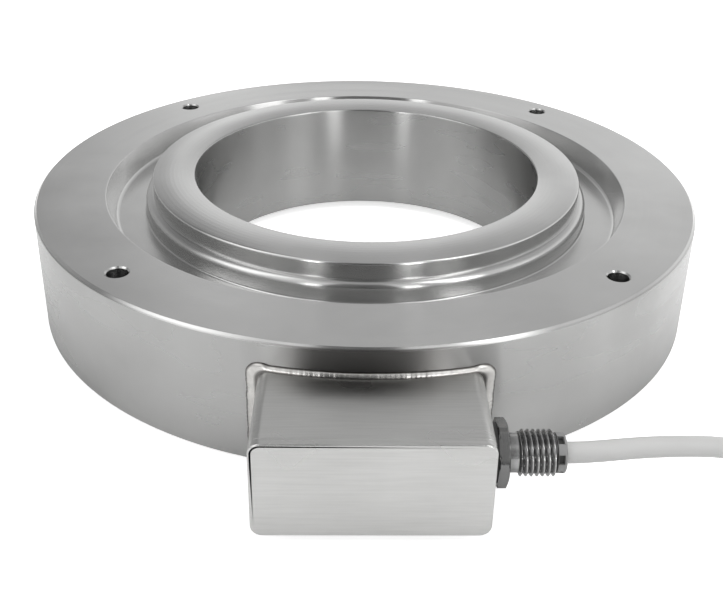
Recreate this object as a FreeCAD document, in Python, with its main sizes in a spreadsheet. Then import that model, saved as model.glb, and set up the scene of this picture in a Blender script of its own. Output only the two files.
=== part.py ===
import FreeCAD, Part
import math
import os
import re
import Sketcher

# Ring load cell. A turned stainless ring stands on its outer foot, and the hub that carries the load
# hangs from it by a thin web. Strain gauges under the web sit in a sealed annular pocket, a duct leads
# their wires into a welded box on the front, and the cable leaves that box to the right.
# Millimetres. Z is the ring's axis, z = 0 the face it stands on, and -Y the side with the box.

SIZES = {
    # turned ring, each width measured inwards from the one outside it
    "ring_outer_radius": 120.0,
    "recess_mouth_inset": 24.5,
    "recess_slope_run": 3.0,
    "recess_floor_width": 10.9,
    "shoulder_width": 2.8,
    "hub_land_width": 15.2,
    # turned ring, heights
    "ring_height": 41.8,
    "recess_depth": 8.3,
    "shoulder_drop": 1.3,
    "hub_rim_rise": 5.65,
    "hub_crown_rise": 0.8,
    "hub_ground_clearance": 2.8,
    # turned ring, edges
    "ring_edge_chamfer": 1.0,
    "bore_edge_round": 0.8,
    "bore_foot_chamfer": 0.5,
    "hub_rim_round": 0.6,
    "shoulder_round_share": 0.94,
    "hub_foot_share": 0.15,
    "recess_corner_fillet": 1.5,
    "recess_mouth_chamfer": 0.4,
    # gauge pocket under the web
    "foot_width": 26.0,
    "pocket_width": 13.5,
    "pocket_roof_fillet": 3.0,
    "cover_seat_height": 4.4,
    "cover_seat_width": 1.5,
    "cover_thickness": 0.8,
    "cover_bead_radius": 3.0,
    "cover_bead_drop": 1.4,
    "cover_fit_clearance": 0.05,
    # fixing holes through the foot
    "fixing_hole_inset": 10.5,
    "fixing_hole_radius": 3.4,
    "fixing_hole_countersink": 0.5,
    "fixing_hole_count": 4,
    # wire duct
    "duct_radius": 3.5,
    "duct_roof_gap": 0.05,
    "duct_plug_inset": 8.0,
    "duct_plug_length": 8.0,
    # strain gauges and their wires
    "gauge_count": 8,
    "gauge_wall_gap": 1.4,
    "gauge_width": 7.0,
    "gauge_thickness": 0.3,
    "tab_length": 1.8,
    "tab_width": 5.0,
    "tab_thickness": 0.6,
    "tab_gap": 0.4,
    "tab_wall_gap": 0.9,
    "loom_radius": 1.2,
    "loom_wall_gap": 0.1,
    "loom_bend_share": 0.54,
    "loom_board_inset": 2.5,
    "lead_radius": 0.3,
    "lead_spacing": 2.4,
    # welded box
    "box_half_width": 31.5,
    "box_bottom": 3.4,
    "box_top_drop": 8.9,
    "box_stand_out": 29.8,
    "box_wall": 2.6,
    "box_corner_radius": 3.2,
    "box_inner_corner_radius": 1.2,
    "box_root_overlap": 12.0,
    "front_plate_thickness": 2.6,
    "front_plate_round": 0.8,
    "weld_leg": 1.4,
    "weld_side_leg": 3.4,
    # circuit board in the box
    "board_length": 36.0,
    "board_thickness": 1.6,
    "board_edge_gap": 3.5,
    "board_side_gap": 3.9,
    "board_standoff_radius": 2.5,
    "board_hole_radius": 1.3,
    "board_hole_inset": 3.0,
    "board_corner_radius": 1.5,
    "board_screw_head_radius": 2.2,
    "board_screw_head_height": 1.6,
    "board_screw_head_round": 0.5,
    "board_screw_shank_radius": 1.2,
    "terminal_block_width": 7.0,
    "terminal_block_height": 9.0,
    "terminal_block_offset": 1.0,
    "terminal_end_wall": 0.5,
    "terminal_pitch": 2.6,
    "terminal_count": 4,
    "terminal_entry_height": 4.0,
    "terminal_entry_radius": 0.8,
    "terminal_entry_depth": 3.0,
    "terminal_screw_radius": 0.9,
    "terminal_screw_depth": 3.0,
    "resistor_radius": 1.0,
    "resistor_length": 6.0,
    "resistor_spacing": 3.4,
    "resistor_count": 3,
    "resistor_offset": 9.0,
    # cable gland on the right of the box
    "gland_offset": 0.7,
    "gland_rise": 0.35,
    "gland_washer_thickness": 1.8,
    "gland_washer_radius": 8.0,
    "gland_hex_across_flats": 17.0,
    "gland_hex_turn": 47.0,
    "gland_hex_thickness": 2.95,
    "gland_hex_chamfer": 0.7,
    "gland_wall": 0.9,
    "gland_neck_length": 2.8,
    "gland_thread_pitch": 1.5,
    "gland_thread_turns": 7,
    "gland_thread_end_share": 0.24,
    "gland_thread_depth": 1.0,
    "gland_stub_radius": 5.95,
    "gland_stub_length": 9.0,
    "gland_stub_clearance": 0.1,
    "gland_chamber_radius": 4.4,
    "gland_chamber_depth": 10.0,
    "locknut_across_flats": 15.0,
    "locknut_turn": 30.0,
    "locknut_thickness": 3.6,
    "seal_end_gap": 0.2,
    "seal_clearance": 0.05,
    "cage_shank_length": 2.4,
    "cage_gap": 0.3,
    "cage_lip": 1.0,
    "cage_head_length": 2.5,
    "cage_head_round": 0.5,
    "cage_rim_length": 0.8,
    "cage_window_count": 6,
    "cage_window_width": 2.6,
    # cable
    "cable_radius": 2.9,
    "cable_fit_clearance": 0.05,
    "cable_end_in_box": 7.0,
    "cable_straight_lead": 6.0,
    "cable_side_shift": 13.5,
    "core_radius": 0.55,
    "core_ring_radius": 1.5,
    "core_straight_length": 3.0,
    "core_lead_in": 2.0,
    "coil_mean_radius": 35.0,
    "coil_columns": 3,
    "coil_layers": 4,
    "coil_edge_round": 2.4,
    "coil_distance": 180.0,
    "coil_entry_lead": 16.0,
    "coil_entry_stub": 26.0,
    "coil_exit_stub": 26.0,
    "tail_straight_lead": 14.0,
    "sleeve_wall": 0.4,
    "sleeve_length": 14.0,
    "tail_core_length": 30.0,
    "tail_core_lift": 0.4,
    "tail_core_floor_gap": 0.05,
    # how far a cutting tool runs past what it cuts
    "cut_overrun": 1.0,
}

# Sizes that follow from others. Each uses only names above it.
FOLLOWING = {
    "recess_mouth_radius": "ring_outer_radius - recess_mouth_inset",
    "recess_floor_radius": "recess_mouth_radius - recess_slope_run",
    "shoulder_radius": "recess_floor_radius - recess_floor_width",
    "hub_rim_radius": "shoulder_radius - shoulder_width",
    "bore_radius": "hub_rim_radius - hub_land_width",
    "recess_floor_height": "ring_height - recess_depth",
    "shoulder_height": "ring_height - shoulder_drop",
    "hub_rim_height": "shoulder_height + hub_rim_rise",
    "shoulder_round": "shoulder_width * shoulder_round_share",
    "hub_foot_fillet": "(shoulder_height - recess_floor_height) * hub_foot_share",
    "pocket_outer_radius": "ring_outer_radius - foot_width",
    "pocket_inner_radius": "pocket_outer_radius - pocket_width",
    "pocket_roof_height": "recess_floor_height * 2 / 3",
    "fixing_circle_radius": "ring_outer_radius - fixing_hole_inset",
    "duct_height": "pocket_roof_height - duct_radius - duct_roof_gap",
    "gauge_inner_radius": "pocket_inner_radius + pocket_roof_fillet + gauge_wall_gap",
    "tab_inner_radius": "pocket_outer_radius - tab_wall_gap - tab_length",
    "gauge_length": "tab_inner_radius - tab_gap - gauge_inner_radius",
    "loom_ring_radius": "pocket_outer_radius - loom_radius - loom_wall_gap",
    "box_reach": "ring_outer_radius + box_stand_out",
    "box_inner_reach": "box_reach - front_plate_thickness",
    "box_top": "ring_height - box_top_drop",
    "box_floor": "box_bottom + box_wall",
    "box_root": "ring_outer_radius - box_root_overlap",
    "board_standoff_height": "(box_top - box_wall - box_floor) / 8",
    "board_low": "box_floor + board_standoff_height",
    "board_top": "board_low + board_thickness",
    "board_depth": "box_stand_out - front_plate_thickness - 2 * board_edge_gap",
    "board_centre_reach": "(ring_outer_radius + box_inner_reach) / 2",
    "board_centre_across": "board_length / 2 + board_side_gap + box_wall - box_half_width",
    "gland_reach": "board_centre_reach + gland_offset",
    "gland_height": "(box_bottom + box_top) / 2 + gland_rise",
    "gland_neck_radius": "gland_chamber_radius + gland_wall",
    "gland_thread_radius": "gland_neck_radius + gland_thread_depth",
    "gland_face": "box_half_width + gland_washer_thickness",
    "gland_thread_start": "gland_hex_thickness + gland_neck_length",
    "gland_length": "gland_thread_start + (gland_thread_turns - gland_thread_end_share) * gland_thread_pitch",
    "gland_mouth": "gland_face + gland_length",
    "seal_length": "gland_chamber_depth - cage_shank_length - seal_end_gap",
    "cage_head_start": "cage_shank_length + cage_gap",
    "cage_length": "cage_head_start + cage_head_length",
    "cage_head_radius": "gland_chamber_radius + cage_lip",
    "cable_start": "box_half_width - box_wall - cable_end_in_box",
    "cable_exit": "gland_mouth - cage_shank_length + cage_length",
    "coil_outer_turn": "coil_mean_radius + (coil_columns - 1) * cable_radius",
    "coil_centre_across": "cable_exit + coil_distance",
    "coil_centre_reach": "gland_reach - cable_side_shift - coil_outer_turn",
    "coil_height": "2 * coil_layers * cable_radius",
    "sleeve_radius": "cable_radius + sleeve_wall",
}

# Thread form: where its flank starts and its crest starts and ends, as shares of the pitch.
THREAD_FORM = (0.08, 0.46, 0.62)

# Cable between the gland's straight lead and the coil's: millimetres along and sideways from the
# gland's mouth, and the share of the drop to the surface.
CABLE_ROUTE = ((22.5, 2.3, -0.01), (42.5, 6.0, 0.14), (60.5, 10.1, 0.50), (90.0, 12.8, 1.0))

# Free end beyond its straight lead: millimetres sideways and ahead, and the share of the drop.
TAIL_ROUTE = ((-0.3, 16.1, 0.31), (-2.3, 32.1, 0.745), (-6.9, 48.6, 1.0), (-14.1, 64.1, 1.0))

# Open cores: place round the cable's axis in degrees, and how far each splays halfway and at its end.
TAIL_CORES = ((150, 3.1, 6.6), (60, 1.0, 2.2), (-30, -1.0, -2.2), (-120, -3.1, -6.6))

WORD = re.compile(r"[a-z][a-z_]+")
ORIGIN = FreeCAD.Vector(0, 0, 0)
X_AXIS = FreeCAD.Vector(1, 0, 0)
Y_AXIS = FreeCAD.Vector(0, 1, 0)
Z_AXIS = FreeCAD.Vector(0, 0, 1)

doc = FreeCAD.newDocument("ring_load_cell")
sheet = doc.addObject("Spreadsheet::Sheet", "Sizes")
cells = {name: str(value) for name, value in SIZES.items()}
cells.update({name: "=" + text for name, text in FOLLOWING.items()})
for row, (cell_name, content) in enumerate(cells.items(), start=1):
    sheet.set(f"A{row}", cell_name)
    sheet.setAlias(f"B{row}", cell_name)
    sheet.set(f"B{row}", content)
doc.recompute()


# Values and bindings

def number(text):
    """Value of a formula in the sheet's names."""
    return float(sheet.evalExpression(text))


def count(name):
    return int(round(number(name)))


def formula(text):
    """The formula with each size's name pointed at its cell."""
    return WORD.sub(lambda m: "Sizes." + m.group(0) if m.group(0) in cells else m.group(0), text)


def bind(thing, **places):
    """Bind properties to formulas; a double underscore stands for a dot."""
    for name, text in places.items():
        thing.setExpression(name.replace("__", "."), formula(text))


def origin_feature(body, role):
    return next(f for f in body.Origin.OriginFeatures if f.Role == role)


def new_body(label):
    body = doc.addObject("PartDesign::Body", label)
    body.Label = label
    return body


def new_sketch(body, name, role, offset=None):
    sketch = body.newObject("Sketcher::SketchObject", name)
    sketch.AttachmentSupport = [(origin_feature(body, role), "")]
    sketch.MapMode = "FlatFace"
    if offset:
        sketch.setExpression("AttachmentOffset.Base.z", formula(offset))
    return sketch


def pin_point(sketch, geometry, end, across, up):
    """Hold one point of the sketch at two formulas from the sketch's origin."""
    for kind, text in (("DistanceX", across), ("DistanceY", up)):
        at = sketch.addConstraint(Sketcher.Constraint(kind, -1, 1, geometry, end, number(text)))
        sketch.setExpression(f"Constraints[{at}]", formula(text))


def outline(sketch, corners):
    """Closed outline. A corner is (across, up). A third entry bows the next edge to that radius,
    to the left of the way it runs, or with "right" as a fourth entry to the right."""
    places = [FreeCAD.Vector(number(c[0]), number(c[1]), 0) for c in corners]
    first = sketch.GeometryCount
    ends = []
    for i, corner in enumerate(corners):
        start, end = places[i], places[(i + 1) % len(corners)]
        if len(corner) == 2:
            sketch.addGeometry(Part.LineSegment(start, end), False)
            ends.append((1, 2))
            continue
        radius = number(corner[2])
        chord = end - start
        rise = radius - math.sqrt(radius**2 - chord.Length**2 / 4)
        left = FreeCAD.Vector(-chord.y, chord.x, 0).normalize()
        # the sketch's arcs run counter-clockwise, so one that bows to the left is drawn backwards
        if len(corner) == 3:
            sketch.addGeometry(Part.Arc(end, (start + end) / 2 + left * rise, start), False)
            ends.append((2, 1))
        else:
            sketch.addGeometry(Part.Arc(start, (start + end) / 2 - left * rise, end), False)
            ends.append((1, 2))
    for i, corner in enumerate(corners):
        after = (i + 1) % len(corners)
        joint = (first + i, ends[i][1], first + after, ends[after][0])
        sketch.addConstraint(Sketcher.Constraint("Coincident", *joint))
        pin_point(sketch, first + i, ends[i][0], corner[0], corner[1])
        if len(corner) > 2:
            at = sketch.addConstraint(Sketcher.Constraint("Radius", first + i, number(corner[2])))
            sketch.setExpression(f"Constraints[{at}]", formula(corner[2]))


def rectangle(sketch, left, bottom, right, top):
    outline(sketch, [(left, bottom), (right, bottom), (right, top), (left, top)])


def circle(sketch, across, up, radius):
    centre = FreeCAD.Vector(number(across), number(up), 0)
    at = sketch.addGeometry(Part.Circle(centre, Z_AXIS, number(radius)), False)
    pin_point(sketch, at, 3, across, up)
    size = sketch.addConstraint(Sketcher.Constraint("Radius", at, number(radius)))
    sketch.setExpression(f"Constraints[{size}]", formula(radius))


def hexagon(sketch, across_flats, turn):
    """Hexagon about the sketch's origin, with its first corner turned by this angle."""
    corner = f"{across_flats} / sqrt(3)"
    angles = [f"{60 * step} + {turn}" for step in range(6)]
    outline(sketch, [(f"{corner} * cos({angle})", f"{corner} * sin({angle})") for angle in angles])


def feature(body, kind, name, sketch=None):
    made = body.newObject("PartDesign::" + kind, name)
    if sketch:
        made.Profile = sketch
        sketch.Visibility = False
    return made


def revolve(body, name, sketch, cut=False):
    """Turn a profile on the body's XZ plane once round the Z axis."""
    made = feature(body, "Groove" if cut else "Revolution", name, sketch)
    made.ReferenceAxis = (sketch, ["V_Axis"])
    made.Angle = 360
    doc.recompute()
    return made


def extrude(body, name, sketch, length, cut=False, reverse=False):
    made = feature(body, "Pocket" if cut else "Pad", name, sketch)
    made.Reversed = reverse
    bind(made, Length=length)
    doc.recompute()
    return made


def polar(body, name, source, axis_role, occurrences):
    made = body.newObject("PartDesign::PolarPattern", name)
    made.Originals = [source]
    made.Axis = (origin_feature(body, axis_role), [""])
    made.Angle = 360
    bind(made, Occurrences=occurrences)
    body.Tip = made
    doc.recompute()
    return made


def dress(body, kind, name, size, picked):
    """Fillet or chamfer the picked edges of the body as it stands."""
    base = body.Tip
    made = body.newObject("PartDesign::" + kind, name)
    made.Base = (base, picked)
    bind(made, **{"Radius" if kind == "Fillet" else "Size": size})
    doc.recompute()
    return made


def edges(body, test):
    found = [f"Edge{i}" for i, edge in enumerate(body.Tip.Shape.Edges, start=1) if test(edge)]
    if not found:
        raise RuntimeError(f"{body.Label}: no edge found")
    return found


def round_edge_at(radius, up):
    """Test for a circle about the ring's axis with this radius and height, given as formulas."""
    r, z = number(radius), number(up)

    def test(edge):
        curve = edge.Curve
        return (isinstance(curve, Part.Circle) and abs(curve.Radius - r) < 1e-4
                and abs(curve.Center.z - z) < 1e-4 and math.hypot(curve.Center.x, curve.Center.y) < 1e-4)
    return test


def runs_along(axis, test=lambda point: True):
    """Test for a straight edge along an axis whose middle passes the second test."""
    def check(edge):
        if not isinstance(edge.Curve, Part.Line):
            return False
        a, b = edge.Vertexes[0].Point, edge.Vertexes[-1].Point
        return abs(abs((b - a).normalize().dot(axis)) - 1) < 1e-6 and test((a + b) / 2)
    return check


def plain(kind, label, **places):
    """A primitive whose sizes and place are formulas."""
    made = doc.addObject("Part::" + kind, label)
    made.Label = label
    bind(made, **places)
    return made


def turned_to(made, axis, angle):
    made.Placement = FreeCAD.Placement(made.Placement.Base, FreeCAD.Rotation(axis, angle))
    return made


def shaped(label, shape, move=ORIGIN):
    made = doc.addObject("Part::Feature", label)
    made.Label = label
    made.Shape = shape
    made.Placement = FreeCAD.Placement(move, FreeCAD.Rotation())
    return made


def vector(across, back, up):
    return FreeCAD.Vector(number(across), number(back), number(up))


# Turned ring

def make_ring_body():
    body = new_body("ring_body")
    profile = new_sketch(body, "ring_profile", "XZ_Plane")
    hub_width = "(hub_rim_radius - bore_radius)"
    crown = f"{hub_width} ^ 2 / (8 * hub_crown_rise) + hub_crown_rise / 2"
    hub_seat = "pocket_inner_radius - cover_seat_width"
    foot_seat = "pocket_outer_radius + cover_seat_width"
    outline(profile, [
        ("bore_radius", "hub_ground_clearance"),
        ("bore_radius", "hub_rim_height", crown),
        ("hub_rim_radius", "hub_rim_height"),
        ("hub_rim_radius", "shoulder_height"),
        ("shoulder_radius", "shoulder_height"),
        ("shoulder_radius", "recess_floor_height"),
        ("recess_floor_radius", "recess_floor_height"),
        ("recess_mouth_radius", "ring_height"),
        ("ring_outer_radius", "ring_height"),
        ("ring_outer_radius", "0"),
        (foot_seat, "0"),
        (foot_seat, "cover_seat_height"),
        ("pocket_outer_radius", "cover_seat_height"),
        ("pocket_outer_radius", "pocket_roof_height"),
        ("pocket_inner_radius", "pocket_roof_height"),
        ("pocket_inner_radius", "cover_seat_height"),
        (hub_seat, "cover_seat_height"),
        (hub_seat, "hub_ground_clearance"),
    ])
    revolve(body, "ring_turning", profile)

    rounds = [
        ("Fillet", "bore_edge", "bore_edge_round", [("bore_radius", "hub_rim_height")]),
        ("Fillet", "rim_edge", "hub_rim_round", [("hub_rim_radius", "hub_rim_height")]),
        ("Fillet", "shoulder_edge", "shoulder_round", [("shoulder_radius", "shoulder_height")]),
        ("Fillet", "hub_foot", "hub_foot_fillet", [("shoulder_radius", "recess_floor_height")]),
        ("Fillet", "recess_corner", "recess_corner_fillet", [("recess_floor_radius", "recess_floor_height")]),
        ("Fillet", "pocket_roof", "pocket_roof_fillet", [("pocket_inner_radius", "pocket_roof_height")]),
        ("Chamfer", "mouth_edge", "recess_mouth_chamfer", [("recess_mouth_radius", "ring_height")]),
        ("Chamfer", "outer_edges", "ring_edge_chamfer", [("ring_outer_radius", "ring_height"),
                                                         ("ring_outer_radius", "0")]),
        ("Chamfer", "bore_foot", "bore_foot_chamfer", [("bore_radius", "hub_ground_clearance")]),
    ]
    for kind, name, size, places in rounds:
        tests = [round_edge_at(*place) for place in places]
        dress(body, kind, name, size, edges(body, lambda edge: any(test(edge) for test in tests)))

    fixing = new_sketch(body, "fixing_hole", "XY_Plane", "ring_height")
    circle(fixing, "fixing_circle_radius * cos(45)", "fixing_circle_radius * sin(45)", "fixing_hole_radius")
    hole = extrude(body, "fixing_hole_cut", fixing, "ring_height + cut_overrun", cut=True)
    polar(body, "fixing_holes", hole, "Z_Axis", "fixing_hole_count")
    hole_radius = number("fixing_hole_radius")
    dress(body, "Chamfer", "fixing_countersinks", "fixing_hole_countersink",
          edges(body, lambda edge: isinstance(edge.Curve, Part.Circle)
                and abs(edge.Curve.Radius - hole_radius) < 1e-4))

    duct = new_sketch(body, "duct_section", "XZ_Plane", "ring_outer_radius + cut_overrun")
    circle(duct, "0", "duct_height", "duct_radius")
    extrude(body, "duct_cut", duct, "foot_width + cut_overrun + duct_radius", cut=True)
    return body


# Sealing diaphragm under the pocket

def make_gauge_cover():
    body = new_body("gauge_cover_ring")
    profile = new_sketch(body, "cover_profile", "XZ_Plane")
    inner = "pocket_inner_radius - cover_seat_width + cover_fit_clearance"
    outer = "pocket_outer_radius + cover_seat_width - cover_fit_clearance"
    middle = "(pocket_inner_radius + pocket_outer_radius) / 2"
    low = "cover_seat_height - cover_thickness"
    upper_bow = "cover_bead_radius + cover_thickness"
    lower_half = "(cover_bead_radius ^ 2 - cover_bead_drop ^ 2) ^ 0.5"
    upper_half = f"(({upper_bow}) ^ 2 - (cover_bead_drop + cover_thickness) ^ 2) ^ 0.5"
    outline(profile, [
        (inner, low),
        (f"{middle} - {lower_half}", low, "cover_bead_radius"),
        (f"{middle} + {lower_half}", low),
        (outer, low),
        (outer, "cover_seat_height"),
        (f"{middle} + {upper_half}", "cover_seat_height", upper_bow, "right"),
        (f"{middle} - {upper_half}", "cover_seat_height"),
        (inner, "cover_seat_height"),
    ])
    revolve(body, "cover_turning", profile)
    return body


# Strain gauges and wires in the pocket

def gauge_directions():
    total = count("gauge_count")
    return [360.0 * (i + 0.5) / total for i in range(total)]


def make_gauges():
    made = []
    for i, turn in enumerate(gauge_directions(), start=1):
        gauge = plain("Box", f"strain_gauge_{i}", Length="gauge_length", Width="gauge_width",
                      Height="gauge_thickness")
        out, side = f"cos({turn})", f"sin({turn})"
        gauge.Placement = FreeCAD.Placement(ORIGIN, FreeCAD.Rotation(Z_AXIS, turn))
        bind(gauge, Placement__Base__x=f"gauge_inner_radius * {out} + gauge_width / 2 * {side}",
             Placement__Base__y=f"gauge_inner_radius * {side} - gauge_width / 2 * {out}",
             Placement__Base__z="pocket_roof_height - gauge_thickness")
        made.append(gauge)
    return made


def make_gauge_tabs():
    """Solder tabs bonded beside the gauges, one group of separate pieces."""
    length, width, thick = number("tab_length"), number("tab_width"), number("tab_thickness")
    inner, roof = number("tab_inner_radius"), number("pocket_roof_height")
    tabs = []
    for turn in gauge_directions():
        tab = Part.makeBox(length, width, thick, FreeCAD.Vector(inner, -width / 2, roof - thick))
        tab.rotate(ORIGIN, Z_AXIS, turn)
        tabs.append(tab)
    return shaped("gauge_solder_tabs", Part.makeCompound(tabs))


def make_gauge_leads():
    """Wires that drop from each solder tab to the loom."""
    top = number("pocket_roof_height - tab_thickness")
    low = number("duct_height + loom_radius")
    radius = number("lead_radius")
    reach = number("loom_ring_radius")
    leads = []
    for turn in gauge_directions():
        for side in (-1, 1):
            offset = side * number("lead_spacing") / 2
            along = math.sqrt(reach**2 - offset**2)
            lead = Part.makeCylinder(radius, top - low, FreeCAD.Vector(along, offset, low))
            lead.rotate(ORIGIN, Z_AXIS, turn)
            leads.append(lead)
    return shaped("gauge_leads", Part.makeCompound(leads))


def make_bridge_loom():
    """Loom round the pocket wall, with one branch out through the duct and down to the board."""
    radius = number("loom_radius")
    ring = Part.makeTorus(number("loom_ring_radius"), radius, vector("0", "0", "duct_height"))
    bend = number("(duct_height - board_top) * loom_bend_share")
    start = vector("0", "-loom_ring_radius", "duct_height")
    corner = vector("0", "board_depth / 2 - loom_board_inset - board_centre_reach", "duct_height")
    end = FreeCAD.Vector(0, corner.y, number("board_top"))
    before = corner + Y_AXIS * bend
    after = corner - Z_AXIS * bend
    slant = bend * (1 - math.sqrt(0.5))
    path = Part.Wire([
        Part.LineSegment(start, before).toShape(),
        Part.Arc(before, corner + FreeCAD.Vector(0, slant, -slant), after).toShape(),
        Part.LineSegment(after, end).toShape(),
    ])
    section = Part.Wire([Part.Circle(start, Y_AXIS, radius).toShape()])
    branch = path.makePipeShell([section], True, False)
    return shaped("bridge_loom", ring.fuse(branch).removeSplitter())


def make_duct_plug():
    """Potting that seals the duct round the loom."""
    body = plain("Cylinder", "duct_plug_blank", Radius="duct_radius", Height="duct_plug_length")
    hole = plain("Cylinder", "duct_plug_hole", Radius="loom_radius", Height="duct_plug_length")
    for piece in (body, hole):
        turned_to(piece, X_AXIS, 90)
        bind(piece, Placement__Base__y="-(pocket_outer_radius + duct_plug_inset)",
             Placement__Base__z="duct_height")
    plug = doc.addObject("Part::Cut", "duct_plug")
    plug.Label = "duct_plug"
    plug.Base = body
    plug.Tool = hole
    return plug


# Welded box

def box_section(sketch, grow, grow_sides=None):
    sides = grow_sides or grow
    rectangle(sketch, f"-(box_half_width + {sides})", f"box_bottom - ({grow})",
              f"box_half_width + {sides}", f"box_top + {grow}")


def turned_cut(body, name, inner, outer):
    """Take away what lies between these two radii about the ring's axis."""
    sketch = new_sketch(body, name + "_profile", "XZ_Plane")
    rectangle(sketch, inner, "-cut_overrun", outer, "ring_height")
    return revolve(body, name, sketch, cut=True)


def make_box_housing():
    body = new_body("box_housing")
    section = new_sketch(body, "box_outline", "XZ_Plane", "box_root")
    box_section(section, "0")
    extrude(body, "box_block", section, "box_inner_reach - box_root")
    dress(body, "Fillet", "box_corners", "box_corner_radius", edges(body, runs_along(Y_AXIS)))
    inside = new_sketch(body, "box_inside", "XZ_Plane", "box_inner_reach")
    box_section(inside, "-box_wall")
    extrude(body, "box_hollow", inside, "box_reach", cut=True)
    inner_half = number("box_half_width - box_wall")
    dress(body, "Fillet", "box_inner_corners", "box_inner_corner_radius",
          edges(body, runs_along(Y_AXIS, lambda p: abs(abs(p.x) - inner_half) < 1e-3)))
    turned_cut(body, "ring_saddle", "0", "ring_outer_radius")
    gland = new_sketch(body, "gland_hole", "YZ_Plane", "box_half_width + cut_overrun")
    circle(gland, "-gland_reach", "gland_height", "gland_stub_radius + gland_stub_clearance")
    extrude(body, "gland_hole_cut", gland, "box_wall + 2 * cut_overrun", cut=True)
    return body


def make_front_plate():
    body = new_body("box_front_plate")
    section = new_sketch(body, "plate_outline", "XZ_Plane", "box_inner_reach")
    box_section(section, "0")
    extrude(body, "plate_block", section, "front_plate_thickness")
    dress(body, "Fillet", "plate_corners", "box_corner_radius", edges(body, runs_along(Y_AXIS)))
    front = -number("box_reach")
    dress(body, "Fillet", "plate_front_edge", "front_plate_round",
          edges(body, lambda edge: abs(edge.CenterOfMass.y - front) < 1e-4))
    return body


def make_weld_bead():
    """Fillet weld that follows the saddle between box and ring."""
    body = new_body("box_weld_bead")
    section = new_sketch(body, "weld_outline", "XZ_Plane", "box_root")
    box_section(section, "weld_leg", "weld_side_leg")
    extrude(body, "weld_block", section, "box_root_overlap + 2 * weld_leg")
    dress(body, "Fillet", "weld_outer_corners", "box_corner_radius + weld_leg",
          edges(body, runs_along(Y_AXIS)))
    hollow = new_sketch(body, "weld_hollow", "XZ_Plane", "ring_outer_radius + 2 * weld_leg")
    box_section(hollow, "0")
    extrude(body, "weld_hollow_cut", hollow, "box_root_overlap + 3 * weld_leg", cut=True)
    half = number("box_half_width")
    dress(body, "Fillet", "weld_inner_corners", "box_corner_radius",
          edges(body, runs_along(Y_AXIS, lambda p: abs(abs(p.x) - half) < 1e-3)))
    turned_cut(body, "weld_saddle", "0", "ring_outer_radius")
    turned_cut(body, "weld_toe", "ring_outer_radius + weld_leg", "2 * ring_outer_radius")
    return body


# Board and what it carries

def board_corners():
    inset_x, inset_y = "(board_length / 2 - board_hole_inset)", "(board_depth / 2 - board_hole_inset)"
    return [(f"board_centre_across + {sx} * {inset_x}", f"-board_centre_reach + {sy} * {inset_y}")
            for sx in (-1, 1) for sy in (-1, 1)]


def make_board():
    body = new_body("circuit_board")
    section = new_sketch(body, "board_outline", "XY_Plane", "board_low")
    rectangle(section, "board_centre_across - board_length / 2", "-board_centre_reach - board_depth / 2",
              "board_centre_across + board_length / 2", "-board_centre_reach + board_depth / 2")
    for across, back in board_corners():
        circle(section, across, back, "board_hole_radius")
    extrude(body, "board_plate", section, "board_thickness")
    dress(body, "Fillet", "board_corners", "board_corner_radius", edges(body, runs_along(Z_AXIS)))
    return body


def make_standoffs():
    posts = []
    for across, back in board_corners():
        foot = vector(across, back, "box_floor")
        post = Part.makeCylinder(number("board_standoff_radius"), number("board_standoff_height"), foot)
        core = Part.makeCylinder(number("board_screw_shank_radius"), number("board_standoff_height"), foot)
        posts.append(post.cut(core))
    return shaped("board_standoffs", Part.makeCompound(posts))


def make_board_screws():
    shank_length = number("board_standoff_height + board_thickness")
    screws = []
    for across, back in board_corners():
        foot = vector(across, back, "box_floor")
        shank = Part.makeCylinder(number("board_screw_shank_radius"), shank_length, foot)
        head_foot = foot + Z_AXIS * shank_length
        head = Part.makeCylinder(number("board_screw_head_radius"), number("board_screw_head_height"),
                                 head_foot)
        head = head.makeFillet(number("board_screw_head_round"), [head.Edges[0]])
        screws.append(shank.fuse(head))
    return shaped("board_screws", Part.makeCompound(screws))


def terminal_places():
    total = count("terminal_count")
    pitch = number("terminal_pitch")
    middle = -number("board_centre_reach")
    return [middle + (i - (total - 1) / 2) * pitch for i in range(total)]


def make_terminal_block():
    """Block of screw terminals that faces the gland."""
    width, height = number("terminal_block_width"), number("terminal_block_height")
    length = number("terminal_pitch") * count("terminal_count") + 2 * number("terminal_end_wall")
    foot = vector("board_centre_across + terminal_block_offset", "-board_centre_reach", "board_top")
    block = Part.makeBox(width, length, height, foot - Y_AXIS * length / 2)
    top = foot.z + height
    for back in terminal_places():
        entry_place = FreeCAD.Vector(foot.x + width, back, foot.z + number("terminal_entry_height"))
        entry = Part.makeCylinder(number("terminal_entry_radius"), number("terminal_entry_depth"),
                                  entry_place, -X_AXIS)
        well_place = FreeCAD.Vector(foot.x + width / 3, back, top)
        well = Part.makeCylinder(number("terminal_screw_radius"), number("terminal_screw_depth"),
                                 well_place, -Z_AXIS)
        block = block.cut(entry).cut(well)
    return shaped("terminal_block", block)


def make_resistors():
    """Trimming resistors that lie on the board beside the terminals."""
    radius, length = number("resistor_radius"), number("resistor_length")
    middle = vector("board_centre_across - resistor_offset", "-board_centre_reach",
                    "board_top + resistor_radius")
    total = count("resistor_count")
    pieces = []
    for i in range(total):
        back = (i - (total - 1) / 2) * number("resistor_spacing")
        place = middle + FreeCAD.Vector(-length / 2, back, 0)
        pieces.append(Part.makeCylinder(radius, length, place, X_AXIS))
    return shaped("trim_resistors", Part.makeCompound(pieces))


# Cable gland

def place_on_gland(made, along):
    """Stand a piece modelled about Z on the gland's axis, pointing right."""
    made.Placement = FreeCAD.Placement(ORIGIN, FreeCAD.Rotation(Y_AXIS, 90))
    bind(made, Placement__Base__x=along, Placement__Base__y="-gland_reach", Placement__Base__z="gland_height")


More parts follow.
